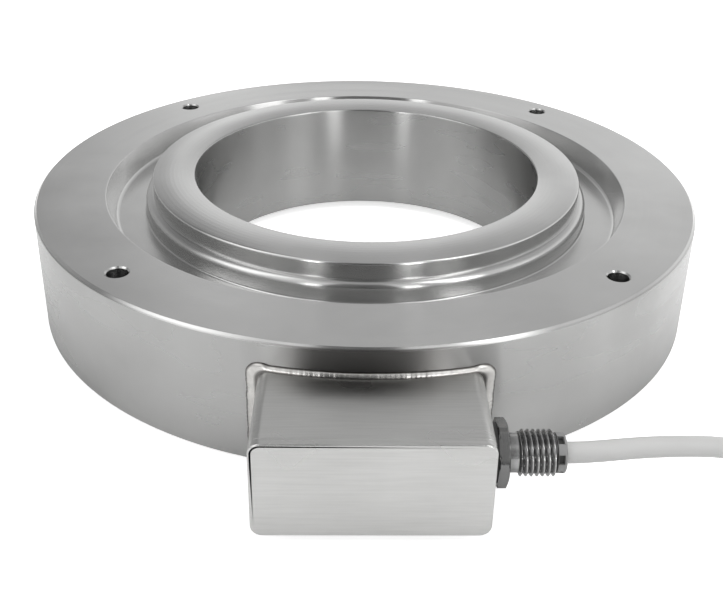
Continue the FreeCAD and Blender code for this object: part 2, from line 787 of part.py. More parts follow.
def make_gland_washer():
    washer = plain("Cylinder", "gland_washer_blank", Radius="gland_washer_radius",
                   Height="gland_washer_thickness")
    hole = plain("Cylinder", "gland_washer_hole", Radius="gland_stub_radius + gland_stub_clearance",
                 Height="gland_washer_thickness")
    for piece in (washer, hole):
        place_on_gland(piece, "box_half_width")
    cut = doc.addObject("Part::Cut", "gland_washer")
    cut.Label = "gland_washer"
    cut.Base = washer
    cut.Tool = hole
    return cut


def make_gland_body():
    """Hexagon with a stub thread into the box and a longer thread outwards."""
    body = new_body("gland_body")
    section = new_sketch(body, "gland_hexagon", "XY_Plane")
    hexagon(section, "gland_hex_across_flats", "270 - gland_hex_turn")
    extrude(body, "gland_hexagon_block", section, "gland_hex_thickness")

    bevel = new_sketch(body, "gland_bevel", "XZ_Plane")
    corner = "gland_hex_across_flats / sqrt(3)"
    outline(bevel, [
        (f"{corner} - 2 * gland_hex_chamfer", "gland_hex_thickness + cut_overrun"),
        (f"{corner} - 2 * gland_hex_chamfer", "gland_hex_thickness"),
        (f"{corner} + 0.1 * cut_overrun", "gland_hex_thickness - gland_hex_chamfer"),
        (f"{corner} + cut_overrun", "gland_hex_thickness + cut_overrun"),
    ])
    revolve(body, "gland_bevel_cut", bevel, cut=True)

    thread = new_sketch(body, "gland_turning", "XZ_Plane")
    inside = "gland_hex_thickness / 2"
    points = [("0", "-gland_stub_length"), ("gland_stub_radius", "-gland_stub_length"),
              ("gland_stub_radius", inside), ("gland_neck_radius", inside),
              ("gland_neck_radius", "gland_thread_start")]
    foot, crest_start, crest_end = THREAD_FORM
    for turn in range(count("gland_thread_turns")):
        groove, rise, fall = (f"gland_thread_start + ({turn} + {share}) * gland_thread_pitch"
                              for share in (foot, crest_start, crest_end))
        points += [("gland_neck_radius", groove), ("gland_thread_radius", rise), ("gland_thread_radius", fall)]
    points += [("gland_neck_radius", "gland_length"), ("0", "gland_length")]
    outline(thread, points)
    revolve(body, "gland_threads", thread)

    bore = new_sketch(body, "gland_bore", "XZ_Plane")
    outline(bore, [
        ("0", "-gland_stub_length - cut_overrun"),
        ("cable_radius + cable_fit_clearance", "-gland_stub_length - cut_overrun"),
        ("cable_radius + cable_fit_clearance", "gland_length - gland_chamber_depth"),
        ("gland_chamber_radius", "gland_length - gland_chamber_depth"),
        ("gland_chamber_radius", "gland_length + cut_overrun"),
        ("0", "gland_length + cut_overrun"),
    ])
    revolve(body, "gland_bore_cut", bore, cut=True)
    place_on_gland(body, "gland_face")
    return body


def make_locknut():
    body = new_body("gland_locknut")
    section = new_sketch(body, "locknut_hexagon", "XY_Plane")
    hexagon(section, "locknut_across_flats", "locknut_turn")
    circle(section, "0", "0", "gland_stub_radius + gland_stub_clearance")
    extrude(body, "locknut_block", section, "locknut_thickness")
    place_on_gland(body, "box_half_width - box_wall - locknut_thickness")
    return body


def make_gland_seal():
    """Rubber bush squeezed round the cable inside the gland."""
    body = new_body("gland_seal")
    section = new_sketch(body, "seal_profile", "XZ_Plane")
    rectangle(section, "cable_radius + seal_clearance", "0",
              "gland_chamber_radius - seal_clearance", "seal_length")
    revolve(body, "seal_turning", section)
    place_on_gland(body, "gland_mouth - gland_chamber_depth")
    return body


def make_clamp_cage():
    """Clamp whose head stands out of the gland's mouth, with fingers joined by a rim."""
    body = new_body("gland_clamp_cage")
    section = new_sketch(body, "cage_profile", "XZ_Plane")
    inner = "cable_radius + cable_fit_clearance"
    shank = "gland_chamber_radius - seal_clearance"
    outline(section, [
        (inner, "0"),
        (shank, "0"),
        (shank, "cage_head_start"),
        ("cage_head_radius", "cage_head_start"),
        ("cage_head_radius", "cage_length"),
        (inner, "cage_length"),
    ])
    revolve(body, "cage_turning", section)
    rim = round_edge_at("cage_head_radius", "cage_length")
    dress(body, "Fillet", "cage_rim", "cage_head_round", edges(body, rim))
    window = new_sketch(body, "cage_window", "XY_Plane", "cage_length - cage_rim_length")
    rectangle(window, "cable_radius / 2", "-cage_window_width / 2",
              "cage_head_radius + cut_overrun", "cage_window_width / 2")
    cut = extrude(body, "cage_window_cut", window, "cage_head_length - cage_rim_length", cut=True)
    polar(body, "cage_windows", cut, "Z_Axis", "cage_window_count")
    place_on_gland(body, "gland_mouth - cage_shank_length")
    return body


def make_cable_in_gland():
    """Stretch of the cable that the gland holds."""
    piece = plain("Cylinder", "cable_in_gland", Radius="cable_radius", Height="cable_exit - cable_start")
    place_on_gland(piece, "cable_start")
    return piece


# Cords

def cord_path(points):
    """Straight runs joined by arcs as large as their runs allow, and the radii of the arcs."""
    pieces, radii = [], []
    at = points[0]
    for before, corner, after in zip(points, points[1:], points[2:]):
        back, ahead = before - corner, after - corner
        half = (math.pi - back.getAngle(ahead)) / 2
        reach = 0.45 * min(back.Length, ahead.Length)
        radii.append(reach / math.tan(half))
        start = corner + back.normalize() * reach
        end = corner + ahead.normalize() * reach
        middle = (start + end) / 2
        toward = (corner - middle).normalize()
        sag = radii[-1] * (1 - math.cos(half))
        pieces.append(Part.LineSegment(at, start).toShape())
        pieces.append(Part.Arc(start, middle + toward * sag, end).toShape())
        at = end
    pieces.append(Part.LineSegment(at, points[-1]).toShape())
    return Part.Wire(pieces), radii


def tube(path, points, radius):
    section = Part.Wire([Part.Circle(points[0], points[1] - points[0], radius).toShape()])
    return path.makePipeShell([section], True, False)


def make_cord(label, points, radius):
    path, radii = cord_path(points)
    solid = tube(path, points, radius)
    expected = math.pi * radius**2 * path.Length
    if abs(solid.Volume / expected - 1) > 0.01:
        raise RuntimeError(f"{label}: the tube's volume is {solid.Volume:.0f}, not {expected:.0f}")
    print(f"{label}: length {path.Length:.1f}, radii", " ".join(f"{r:.0f}" for r in radii))
    return shaped(label, solid), path.Length


def make_inner_cores():
    """Cores that fan out from the cable's end to the terminals."""
    cable_end = vector("cable_start", "-gland_reach", "gland_height")
    block_face = "board_centre_across + terminal_block_offset + terminal_block_width"
    entry = vector(f"{block_face} - terminal_entry_depth", "0", "board_top + terminal_entry_height")
    ring = number("core_ring_radius")
    leave = X_AXIS * number("core_straight_length")
    arrive = X_AXIS * number("terminal_entry_depth + core_lead_in")
    places = terminal_places()
    cores = []
    for i, back in enumerate(places):
        turn = math.radians(135 + 360.0 * (len(places) - 1 - i) / len(places))
        begin = cable_end + FreeCAD.Vector(0, ring * math.cos(turn), ring * math.sin(turn))
        end = entry + Y_AXIS * back
        points = [begin, begin - leave, end + arrive, end]
        cores.append(tube(cord_path(points)[0], points, number("core_radius")))
    return shaped("inner_cores", Part.makeCompound(cores))


def make_cable():
    """Free stretch from the gland to the coil, down to the surface the ring stands on."""
    start = vector("cable_exit", "-gland_reach", "gland_height")
    end = vector("coil_centre_across - coil_entry_stub", "-coil_centre_reach - coil_outer_turn",
                 "cable_radius")
    drop = start.z - end.z
    points = [start, start + X_AXIS * number("cable_straight_lead")]
    points += [start + FreeCAD.Vector(along, aside, -drop * share) for along, aside, share in CABLE_ROUTE]
    points += [end - X_AXIS * number("coil_entry_lead"), end]
    return make_cord("cable", points, number("cable_radius"))


def make_coil():
    """Outer shape of the wound cable, with the short stubs where it goes in and comes out."""
    thick = number("cable_radius")
    inner = number("coil_mean_radius - coil_columns * cable_radius")
    outer = number("coil_mean_radius + coil_columns * cable_radius")
    tall = number("coil_height")
    centre = vector("coil_centre_across", "-coil_centre_reach", "0")
    ring = Part.makeCylinder(outer, tall, centre).cut(Part.makeCylinder(inner, tall, centre))
    rims = [edge for edge in ring.Edges if isinstance(edge.Curve, Part.Circle)]
    ring = ring.makeFillet(number("coil_edge_round"), rims)
    turn = number("coil_outer_turn")
    entry = Part.makeCylinder(thick, number("coil_entry_stub"),
                              centre + FreeCAD.Vector(-number("coil_entry_stub"), -turn, thick), X_AXIS)
    leave = Part.makeCylinder(thick, number("coil_exit_stub"),
                              centre + FreeCAD.Vector(turn, 0, tall - thick), Y_AXIS)
    return shaped("cable_coil", ring.fuse([entry, leave]).removeSplitter())


def make_tail():
    """Free end of the cable, from the top of the coil down to the surface."""
    start = vector("coil_centre_across + coil_outer_turn", "coil_exit_stub - coil_centre_reach",
                   "coil_height - cable_radius")
    drop = start.z - number("sleeve_radius")
    turning = start + Y_AXIS * number("tail_straight_lead")
    points = [start, turning]
    points += [turning + FreeCAD.Vector(aside, ahead, -drop * share) for aside, ahead, share in TAIL_ROUTE]
    node, length = make_cord("cable_tail", points, number("cable_radius"))
    return node, length, points


def make_end_sleeve(points):
    """Shrink sleeve over the cut end of the jacket."""
    ahead = (points[-1] - points[-2]).normalize()
    sleeve = Part.makeCylinder(number("sleeve_radius"), number("sleeve_length"), points[-1], ahead)
    return shaped("cable_end_sleeve", sleeve), points[-1] + ahead * number("sleeve_length"), ahead


def make_tail_cores(start, ahead):
    """Open cores that lie splayed on the surface."""
    side = FreeCAD.Vector(-ahead.y, ahead.x, 0)
    radius = number("core_radius")
    ring = number("core_ring_radius")
    reach = ahead * number("tail_core_length")
    low = number("core_radius + tail_core_floor_gap")
    cores = []
    for turn, halfway, at_end in TAIL_CORES:
        angle = math.radians(turn)
        begin = start + side * ring * math.cos(angle) + Z_AXIS * ring * math.sin(angle)
        middle = start + reach / 2 + side * halfway
        last = start + reach + side * at_end
        middle.z = low + number("tail_core_lift")
        last.z = low
        points = [begin, begin + reach / 4, middle, last]
        cores.append(tube(cord_path(points)[0], points, radius))
    return shaped("cable_end_cores", Part.makeCompound(cores))


# The whole part

nodes = [make_ring_body(), make_gauge_cover()] + make_gauges()
nodes += [make_gauge_tabs(), make_gauge_leads(), make_bridge_loom(), make_duct_plug()]
nodes += [make_box_housing(), make_front_plate(), make_weld_bead()]
nodes += [make_board(), make_standoffs(), make_board_screws(), make_terminal_block(), make_resistors()]
nodes += [make_gland_washer(), make_gland_body(), make_locknut(), make_gland_seal(), make_clamp_cage()]
nodes += [make_cable_in_gland(), make_inner_cores()]
cable_node, cable_length = make_cable()
tail_node, tail_length, tail_points = make_tail()
sleeve_node, sleeve_end, sleeve_ahead = make_end_sleeve(tail_points)
nodes += [cable_node, make_coil(), tail_node, sleeve_node, make_tail_cores(sleeve_end, sleeve_ahead)]
doc.recompute()

turns = number("coil_columns * coil_layers")
wound = turns * 2 * math.pi * number("coil_mean_radius") + math.pi / 2 * number("coil_outer_turn")
total = cable_length + wound + tail_length + number("coil_entry_stub + coil_exit_stub + sleeve_length")
print(f"cable from the gland to the end of its sleeve: {total:.0f}")

for thing in doc.Objects:
    if "Invalid" in thing.State or "Error" in thing.State:
        raise RuntimeError(f"{thing.Label} failed: {thing.State}")

os.makedirs("parts", exist_ok=True)
for node in nodes:
    if node.Shape.isNull() or not node.Shape.isValid() or not node.Shape.Solids:
        raise RuntimeError(f"{node.Label} has no valid solid")
    node.Shape.exportStep(f"parts/{node.Label}.step")
    print(f"{node.Label}: {len(node.Shape.Solids)} solid(s), {node.Shape.Volume:.0f} mm3")
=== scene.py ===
import math

import bmesh
import bpy
from mathutils import Matrix, Vector, noise


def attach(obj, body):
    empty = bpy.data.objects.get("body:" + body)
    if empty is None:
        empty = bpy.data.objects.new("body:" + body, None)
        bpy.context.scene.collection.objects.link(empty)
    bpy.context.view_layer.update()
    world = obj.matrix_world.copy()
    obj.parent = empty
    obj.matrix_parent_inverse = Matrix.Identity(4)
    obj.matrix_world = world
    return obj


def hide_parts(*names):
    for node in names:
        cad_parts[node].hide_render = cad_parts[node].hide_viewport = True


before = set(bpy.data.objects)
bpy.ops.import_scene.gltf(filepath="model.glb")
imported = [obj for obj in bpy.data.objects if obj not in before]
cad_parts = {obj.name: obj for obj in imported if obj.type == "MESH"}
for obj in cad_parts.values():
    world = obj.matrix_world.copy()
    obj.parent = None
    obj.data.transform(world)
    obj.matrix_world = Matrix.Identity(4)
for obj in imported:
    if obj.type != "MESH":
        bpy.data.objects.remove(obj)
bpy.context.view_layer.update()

# camera, fitted to the ring's circles in the photograph
photoCamera = {
    "width": 723,              # pixels
    "height": 601,
    "focal": 1006.9,           # pixels
    "centreAcross": 375.75,    # where the lens axis meets the frame, pixels from the left
    "centreDown": 228.9,       # and from the top
    "place": (-0.00674, -0.35094, 0.18986),
    "pan": -1.746,             # degrees
    "tiltDown": 25.839,
    "roll": 1.303,
    "sensor": 36.0,
    "clip": (0.01, 20.0),
}


def makeCamera(spec):
    data = bpy.data.cameras.new("photoCamera")
    camera = bpy.data.objects.new("photoCamera", data)
    bpy.context.scene.collection.objects.link(camera)
    data.sensor_fit = "HORIZONTAL"
    data.sensor_width = spec["sensor"]
    data.lens = spec["focal"] * spec["sensor"] / spec["width"]
    data.shift_x = (spec["width"] / 2 - spec["centreAcross"]) / spec["width"]
    data.shift_y = (spec["centreDown"] - spec["height"] / 2) / spec["width"]
    data.clip_start, data.clip_end = spec["clip"]
    pan = Matrix.Rotation(math.radians(spec["pan"]), 4, "Z")
    tilt = Matrix.Rotation(math.radians(90 - spec["tiltDown"]), 4, "X")
    roll = Matrix.Rotation(math.radians(spec["roll"]), 4, "Z")
    camera.matrix_world = Matrix.Translation(spec["place"]) @ pan @ tilt @ roll
    bpy.context.scene.camera = camera


makeCamera(photoCamera)
print("camera placed")

# mesh helpers

cutterSegments = 48


def linkMesh(name, verts, faces, material=None, sharpAngle=30.0):
    mesh = bpy.data.meshes.new(name)
    mesh.from_pydata(verts, [], faces)
    mesh.validate()
    piece = bpy.data.objects.new(name, mesh)
    bpy.context.scene.collection.objects.link(piece)
    smoothMesh(mesh, sharpAngle)
    if material:
        mesh.materials.append(material)
    return piece


def cleanMesh(mesh, merge=False):
    worked = bmesh.new()
    worked.from_mesh(mesh)
    if merge:
        bmesh.ops.remove_doubles(worked, verts=worked.verts, dist=1e-7)
    bmesh.ops.recalc_face_normals(worked, faces=worked.faces)
    worked.to_mesh(mesh)
    worked.free()


def smoothMesh(mesh, sharpAngle=30.0):
    cleanMesh(mesh)
    for face in mesh.polygons:
        face.use_smooth = True
    mesh.set_sharp_from_angle(angle=math.radians(sharpAngle))


def gridFaces(rows, count, closed=True):  # quads between rows of points, each row a closed line
    faces = []
    for i in range(rows if closed else rows - 1):
        here, after = i * count, (i + 1) % rows * count
        for j in range(count):
            k = (j + 1) % count
            faces.append((here + j, here + k, after + k, after + j))
    return faces


def lathe(profile, segments, closed=True):  # (radius, height) points turned about Z
    verts, faces = [], []
    for i in range(segments):
        turn = 2 * math.pi * i / segments
        verts += [(r * math.cos(turn), r * math.sin(turn), z) for r, z in profile]
    count = len(profile)
    for i in range(segments):
        here, after = i * count, (i + 1) % segments * count
        for j in range(count if closed else count - 1):
            k = (j + 1) % count
            faces.append((here + j, after + j, after + k, here + k))
    return verts, faces


def roundedOutline(corners, stepAngle=9.0):  # corners are (across, up, radius)
    points = []
    total = len(corners)
    for i, (x, y, radius) in enumerate(corners):
        corner = Vector((x, y))
        before = Vector(corners[i - 1][:2]) - corner
        after = Vector(corners[(i + 1) % total][:2]) - corner
        if radius <= 0:
            points.append((x, y))
            continue
        before.normalize()
        after.normalize()
        half = before.angle(after) / 2
        reach = radius / math.tan(half)
        middle = corner + (before + after).normalized() * radius / math.sin(half)
        start, end = corner + before * reach, corner + after * reach
        a, b = start - middle, end - middle
        sweep = a.angle_signed(b)
        steps = max(2, math.ceil(abs(math.degrees(sweep)) / stepAngle))
        for step in range(steps + 1):
            turn = -sweep * step / steps
            points.append(tuple(middle + Matrix.Rotation(turn, 2) @ a))
    return points


def between(here, after, share):  # the point at this share of the way
    return (here[0] + (after[0] - here[0]) * share, here[1] + (after[1] - here[1]) * share)


def withSupports(outline, reach, longest=0.001):  # points near a long edge's ends keep flats flat
    points = []
    for i, here in enumerate(outline):
        after = outline[(i + 1) % len(outline)]
        points.append(here)
        span = math.dist(here, after)
        if span > longest:
            points += [between(here, after, share) for share in (reach / span, 1 - reach / span)]
    return points


def turnedCutter(profile, place, axis="Z"):
    verts, faces = lathe(profile, cutterSegments, closed=False)
    cutter = linkMesh("cutter", verts, faces)
    cutter.location = place
    cutter.rotation_euler = {"Z": (0, 0, 0), "Y": (math.pi / 2, 0, 0), "X": (0, math.pi / 2, 0)}[axis]
    cleanMesh(cutter.data, merge=True)
    return cutter


def cutAway(piece, cutters):  # the cutters are deleted
    for cutter in cutters:
        tool = piece.modifiers.new("cut", "BOOLEAN")
        tool.operation = "DIFFERENCE"
        tool.solver = "EXACT"
        tool.object = cutter
    bpy.context.view_layer.update()
    graph = bpy.context.evaluated_depsgraph_get()
    made = bpy.data.meshes.new_from_object(piece.evaluated_get(graph))
    piece.modifiers.clear()
    old = piece.data
    piece.data = made
    made.name = old.name
    bpy.data.meshes.remove(old)
    for cutter in cutters:
        bpy.data.objects.remove(cutter)


def placePiece(piece, slot, *nodes):
    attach(piece, "root")
    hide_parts(*nodes)


# shader helpers

def newMaterial(name):
    material = bpy.data.materials.new(name)
    material.use_nodes = True
    nodes, links = material.node_tree.nodes, material.node_tree.links
    return material, nodes, links, nodes["Principled BSDF"]


def newGroup(name, inputs, outputs):  # inputs by label and value, every output is a number
    group = bpy.data.node_groups.new(name, "ShaderNodeTree")
    for label, value in inputs.items():
        kind = "NodeSocketVector" if isinstance(value, tuple) else "NodeSocketFloat"
        group.interface.new_socket(label, in_out="INPUT", socket_type=kind).default_value = value
    for label in outputs:
        group.interface.new_socket(label, in_out="OUTPUT", socket_type="NodeSocketFloat")
    start = group.nodes.new("NodeGroupInput")
    end = group.nodes.new("NodeGroupOutput")
    return group, group.nodes, group.links, start, end


def useGroup(nodes, group, **values):
    node = nodes.new("ShaderNodeGroup")
    node.node_tree = group
    for label, value in values.items():
        node.inputs[label].default_value = value
    return node


def feed(links, socket, value):  # a number or colour is set, a node's output is linked
    if isinstance(value, (int, float, tuple)):
        socket.default_value = value
    else:
        links.new(value, socket)


def mathNode(nodes, links, operation, *values):
    node = nodes.new("ShaderNodeMath")
    node.operation = operation
    for socket, value in zip(node.inputs, values):
        feed(links, socket, value)
    return node.outputs[0]


def times(nodes, links, first, second):
    return mathNode(nodes, links, "MULTIPLY", first, second)


def shared(nodes, links, first, second, share):  # this share of the first, and the rest of the second
    rest = times(nodes, links, second, 1 - share)
    return mathNode(nodes, links, "ADD", times(nodes, links, first, share), rest)


def axisDistance(nodes, links, first, second):  # from an axis that the two are measured from
    squares = [times(nodes, links, part, part) for part in (first, second)]
    return mathNode(nodes, links, "SQRT", mathNode(nodes, links, "ADD", *squares))


def placeParts(nodes, links, source="Object"):
    place = nodes.new("ShaderNodeTexCoord")
    split = nodes.new("ShaderNodeSeparateXYZ")
    links.new(place.outputs[source], split.inputs[0])
    return split.outputs["X"], split.outputs["Y"], split.outputs["Z"]


def remap(nodes, links, value, low, high, toLow=0.0, toHigh=1.0):
    node = nodes.new("ShaderNodeMapRange")
    links.new(value, node.inputs["Value"])
    for label, number in (("From Min", low), ("From Max", high), ("To Min", toLow), ("To Max", toHigh)):
        feed(links, node.inputs[label], number)
    return node.outputs["Result"]


def noiseNode(nodes, links, vector, scale, detail, w=None):
    node = nodes.new("ShaderNodeTexNoise")
    if w is not None:
        node.noise_dimensions = "4D"
        links.new(w, node.inputs["W"])
    links.new(vector, node.inputs["Vector"])
    feed(links, node.inputs["Scale"], scale)
    node.inputs["Detail"].default_value = detail
    return node.outputs["Fac"]


def blend(nodes, links, factor, first, second, kind="FLOAT"):
    node = nodes.new("ShaderNodeMix")
    node.data_type = kind
    for label, value in (("Factor", factor), ("A", first), ("B", second)):
        feed(links, node.inputs[label], value)
    return node.outputs["Result"]


def mixTone(nodes, links, factor, dark, light):
    return blend(nodes, links, factor, (*dark, 1.0), (*light, 1.0), "RGBA")


def darken(nodes, links, shader, factor, colour):  # mixes a colour over the shader's own by a factor
    base = shader.inputs["Base Color"]
    own = base.links[0].from_socket
    links.new(blend(nodes, links, factor, own, (*colour, 1.0), "RGBA"), base)


def addBump(nodes, links, shader, height, strength, distance):
    bump = nodes.new("ShaderNodeBump")
    bump.inputs["Strength"].default_value = strength
    bump.inputs["Distance"].default_value = distance
    links.new(height, bump.inputs["Height"])
    links.new(bump.outputs["Normal"], shader.inputs["Normal"])


# shared effects

usualNoise = (0.3, 0.7)   # range that most of a noise lies in
wholeNoise = (0.2, 0.8)   # and nearly all of it
grainDepth = 0.00002      # metres
speckDepth = 0.00005
grainDetail, patchDetail = 4.0, 2.0
cloudDetail, speckDetail = 5.0, 2.0
speckTops = (0.62, 0.78)  # only the noise's tops show as specks

# where the painted shade lies: a dark bloom where the box meets the ring, on the ring's wall and on the box
jointShadeZone = {
    "wall": (0.1194, 0.1197),      # radius at which the bloom starts, so that the ring's top stays clear
    "box": 0.1204,                 # beyond this radius it fades along the box, up to its reach
    "reach": 0.131,
    "core": 0.016,                 # half its width at full strength, and half its whole width
    "edge": 0.037,
    "boxSide": (-0.100, -0.090),
}


def makeTurnedMarks():  # rings left by turning: they follow the radius on a face, the height on a wall
    group, nodes, links, start, end = newGroup(
        "turnedMarks", {"Fineness": 3000.0, "Waver": 1.2}, ["Marks", "Bands", "Radius"])
    x, y, z = placeParts(nodes, links)
    radius = axisDistance(nodes, links, x, y)
    cosine = mathNode(nodes, links, "DIVIDE", x, radius)
    sine = mathNode(nodes, links, "DIVIDE", y, radius)
    for label, share, detail in (("Marks", 1.0, 1.5), ("Bands", 0.06, 1.0)):
        fine = times(nodes, links, start.outputs["Fineness"], share)
        together = nodes.new("ShaderNodeCombineXYZ")
        links.new(times(nodes, links, radius, fine), together.inputs["X"])
        links.new(times(nodes, links, z, fine), together.inputs["Y"])
        links.new(times(nodes, links, cosine, start.outputs["Waver"]), together.inputs["Z"])
        w = times(nodes, links, sine, start.outputs["Waver"])
        links.new(noiseNode(nodes, links, together.outputs[0], 1.0, detail, w), end.inputs[label])
    links.new(radius, end.inputs["Radius"])
    return group


def makeBrushedGrain():  # straight grain, along the axis that is stretched least
    group, nodes, links, start, end = newGroup(
        "brushedGrain", {"Stretch": (60.0, 900.0, 900.0), "Patch Size": 45.0}, ["Grain", "Patches"])
    place = nodes.new("ShaderNodeTexCoord")
    scaled = nodes.new("ShaderNodeVectorMath")
    scaled.operation = "MULTIPLY"
    links.new(place.outputs["Object"], scaled.inputs[0])
    links.new(start.outputs["Stretch"], scaled.inputs[1])
    patches = noiseNode(nodes, links, place.outputs["Object"], start.outputs["Patch Size"], patchDetail)
    links.new(noiseNode(nodes, links, scaled.outputs[0], 1.0, grainDetail), end.inputs["Grain"])
    links.new(patches, end.inputs["Patches"])
    return group


def makeHandling():  # soft clouds from cleaning, and fine specks
    group, nodes, links, start, end = newGroup(
        "handlingClouds", {"Cloud Size": 28.0, "Speck Size": 900.0}, ["Clouds", "Specks"])
    place = nodes.new("ShaderNodeTexCoord")
    clouds = noiseNode(nodes, links, place.outputs["Object"], start.outputs["Cloud Size"], cloudDetail)
    specks = noiseNode(nodes, links, place.outputs["Object"], start.outputs["Speck Size"], speckDetail)
    links.new(clouds, end.inputs["Clouds"])
    links.new(remap(nodes, links, specks, *speckTops), end.inputs["Specks"])
    return group


def makeHeatTint(spec):  # painted shade: a dark bloom beside the weld, on the ring's wall and on the box, where the box meets the ring
    group, nodes, links, start, end = newGroup(
        "paintedJointShade", {label.title(): spec[label] for label in ("reach", "core", "edge")}, ["Tint"])
    x, y = placeParts(nodes, links)[:2]
    radius = axisDistance(nodes, links, x, y)
    near = remap(nodes, links, radius, *spec["wall"])
    far = remap(nodes, links, radius, spec["box"], start.outputs["Reach"], 1.0, 0.0)
    middle = remap(nodes, links, mathNode(nodes, links, "ABSOLUTE", x), start.outputs["Core"],
                   start.outputs["Edge"], 1.0, 0.0)
    boxSide = remap(nodes, links, y, *spec["boxSide"], 1.0, 0.0)
    jointShade = times(nodes, links, times(nodes, links, near, far), times(nodes, links, middle, boxSide))
    links.new(jointShade, end.inputs["Tint"])
    return group


turnedMarks = makeTurnedMarks()
paintedJointShade = makeHeatTint(jointShadeZone)
brushedGrain = makeBrushedGrain()
handlingClouds = makeHandling()


# finishes

# darkens the colour with the painted shade where the box meets the ring
def tintByHeat(nodes, links, shader, spec):
    jointShade = useGroup(nodes, paintedJointShade)
    darken(nodes, links, shader, times(nodes, links, jointShade.outputs["Tint"], spec["jointShadeShare"]), spec["jointShade"])


def turnedSteel(name, spec):
    material, nodes, links, shader = newMaterial(name)
    marks = useGroup(nodes, turnedMarks, Fineness=spec["fineness"], Waver=spec["waver"])
    clouds = useGroup(nodes, handlingClouds, **{"Cloud Size": spec["cloudSize"]}).outputs["Clouds"]
    tone = shared(nodes, links, marks.outputs["Marks"], clouds, spec["marksShare"])
    tone = remap(nodes, links, tone, *wholeNoise)
    links.new(mixTone(nodes, links, tone, spec["dark"], spec["light"]), shader.inputs["Base Color"])
    rough = shared(nodes, links, marks.outputs["Bands"], clouds, 0.5)
    even = remap(nodes, links, rough, *wholeNoise, spec["smooth"], spec["rough"])
    # the bore and the outer wall are coarser and duller than the rest
    bore = remap(nodes, links, marks.outputs["Radius"], *spec["boreEdge"], spec["coarser"], 0.0)
    wall = remap(nodes, links, marks.outputs["Radius"], *spec["wallEdge"], 0.0, spec["coarser"])
    coarse = mathNode(nodes, links, "MAXIMUM", bore, wall)
    links.new(mathNode(nodes, links, "ADD", even, coarse), shader.inputs["Roughness"])
    cloudy = remap(nodes, links, clouds, *wholeNoise, *spec["coarseShade"])
    reached = remap(nodes, links, coarse, 0.0, spec["coarser"])
    darken(nodes, links, shader, times(nodes, links, reached, cloudy), spec["coarse"])
    tintByHeat(nodes, links, shader, spec)
    shader.inputs["Metallic"].default_value = 1.0
    shader.inputs["Anisotropic"].default_value = spec["anisotropy"]
    shader.inputs["Anisotropic Rotation"].default_value = 0.25  # turns: the blur runs across the grooves
    tangent = nodes.new("ShaderNodeTangent")
    tangent.direction_type = "RADIAL"
    tangent.axis = "Z"
    links.new(tangent.outputs[0], shader.inputs["Tangent"])
    return material


def brushedSteel(name, spec):
    material, nodes, links, shader = newMaterial(name)
    grain = useGroup(nodes, brushedGrain, Stretch=spec["stretch"])
    clouds = useGroup(nodes, handlingClouds, **{"Cloud Size": spec["cloudSize"]}).outputs["Clouds"]
    tone = shared(nodes, links, grain.outputs["Grain"], clouds, 0.5)
    tone = remap(nodes, links, tone, *usualNoise)
    links.new(mixTone(nodes, links, tone, spec["dark"], spec["light"]), shader.inputs["Base Color"])
    rough = remap(nodes, links, grain.outputs["Patches"], *usualNoise, spec["smooth"], spec["rough"])
    links.new(rough, shader.inputs["Roughness"])
    if "jointShade" in spec:
        tintByHeat(nodes, links, shader, spec)
    shader.inputs["Metallic"].default_value = 1.0
    addBump(nodes, links, shader, grain.outputs["Grain"], spec["bump"], grainDepth)
    return material


def threadedSteel(name, spec):  # like brushed steel, with painted shade in the thread's roots, and a darker hexagon
    material = brushedSteel(name, spec)
    nodes, links = material.node_tree.nodes, material.node_tree.links
    shader = nodes["Principled BSDF"]
    x, y, z = placeParts(nodes, links)
    across = axisDistance(nodes, links, mathNode(nodes, links, "ADD", y, spec["reach"]),
                          mathNode(nodes, links, "SUBTRACT", z, spec["height"]))
    crest = remap(nodes, links, across, *spec["rootToCrest"])
    thread = remap(nodes, links, x, *spec["threadFrom"])
    # painted shade in the thread's roots, away from the crests
    rootShade = times(nodes, links, mathNode(nodes, links, "SUBTRACT", 1.0, crest), thread)
    darken(nodes, links, shader, rootShade, spec["rootShade"])
    hexagon = remap(nodes, links, x, *spec["hexUntil"], spec["hexShade"], 0.0)
    darken(nodes, links, shader, hexagon, spec["hexTone"])
    return material


def weldSteel(name, spec):  # like brushed steel, with a painted shadow line along both toes, where the bead meets the ring and the box
    material = brushedSteel(name, spec)
    nodes, links = material.node_tree.nodes, material.node_tree.links
    shader = nodes["Principled BSDF"]
    across = nodes.new("ShaderNodeAttribute")
    across.attribute_name = "across"
    ringToe = remap(nodes, links, across.outputs["Fac"], *spec["ringToe"], 1.0, 0.0)
    boxToe = remap(nodes, links, across.outputs["Fac"], *spec["boxToe"])
    # painted shadow along both toes of the bead
    toeShadeMask = mathNode(nodes, links, "MAXIMUM", ringToe, boxToe)
    darken(nodes, links, shader, times(nodes, links, toeShadeMask, spec["toeShadeShare"]), spec["toeShade"])
    return material


def plainCoat(name, spec):  # plastic, rubber, resin and the like
    material, nodes, links, shader = newMaterial(name)
    sizes = {"Cloud Size": spec["cloudSize"], "Speck Size": spec["speckSize"]}
    clouds = useGroup(nodes, handlingClouds, **sizes)
    tone = mixTone(nodes, links, clouds.outputs["Clouds"], spec["dark"], spec["light"])
    links.new(tone, shader.inputs["Base Color"])
    rough = remap(nodes, links, clouds.outputs["Clouds"], *usualNoise, spec["smooth"], spec["rough"])
    links.new(rough, shader.inputs["Roughness"])
    shader.inputs["Metallic"].default_value = spec["metallic"]
    addBump(nodes, links, shader, clouds.outputs["Specks"], spec["bump"], speckDepth)
    return material


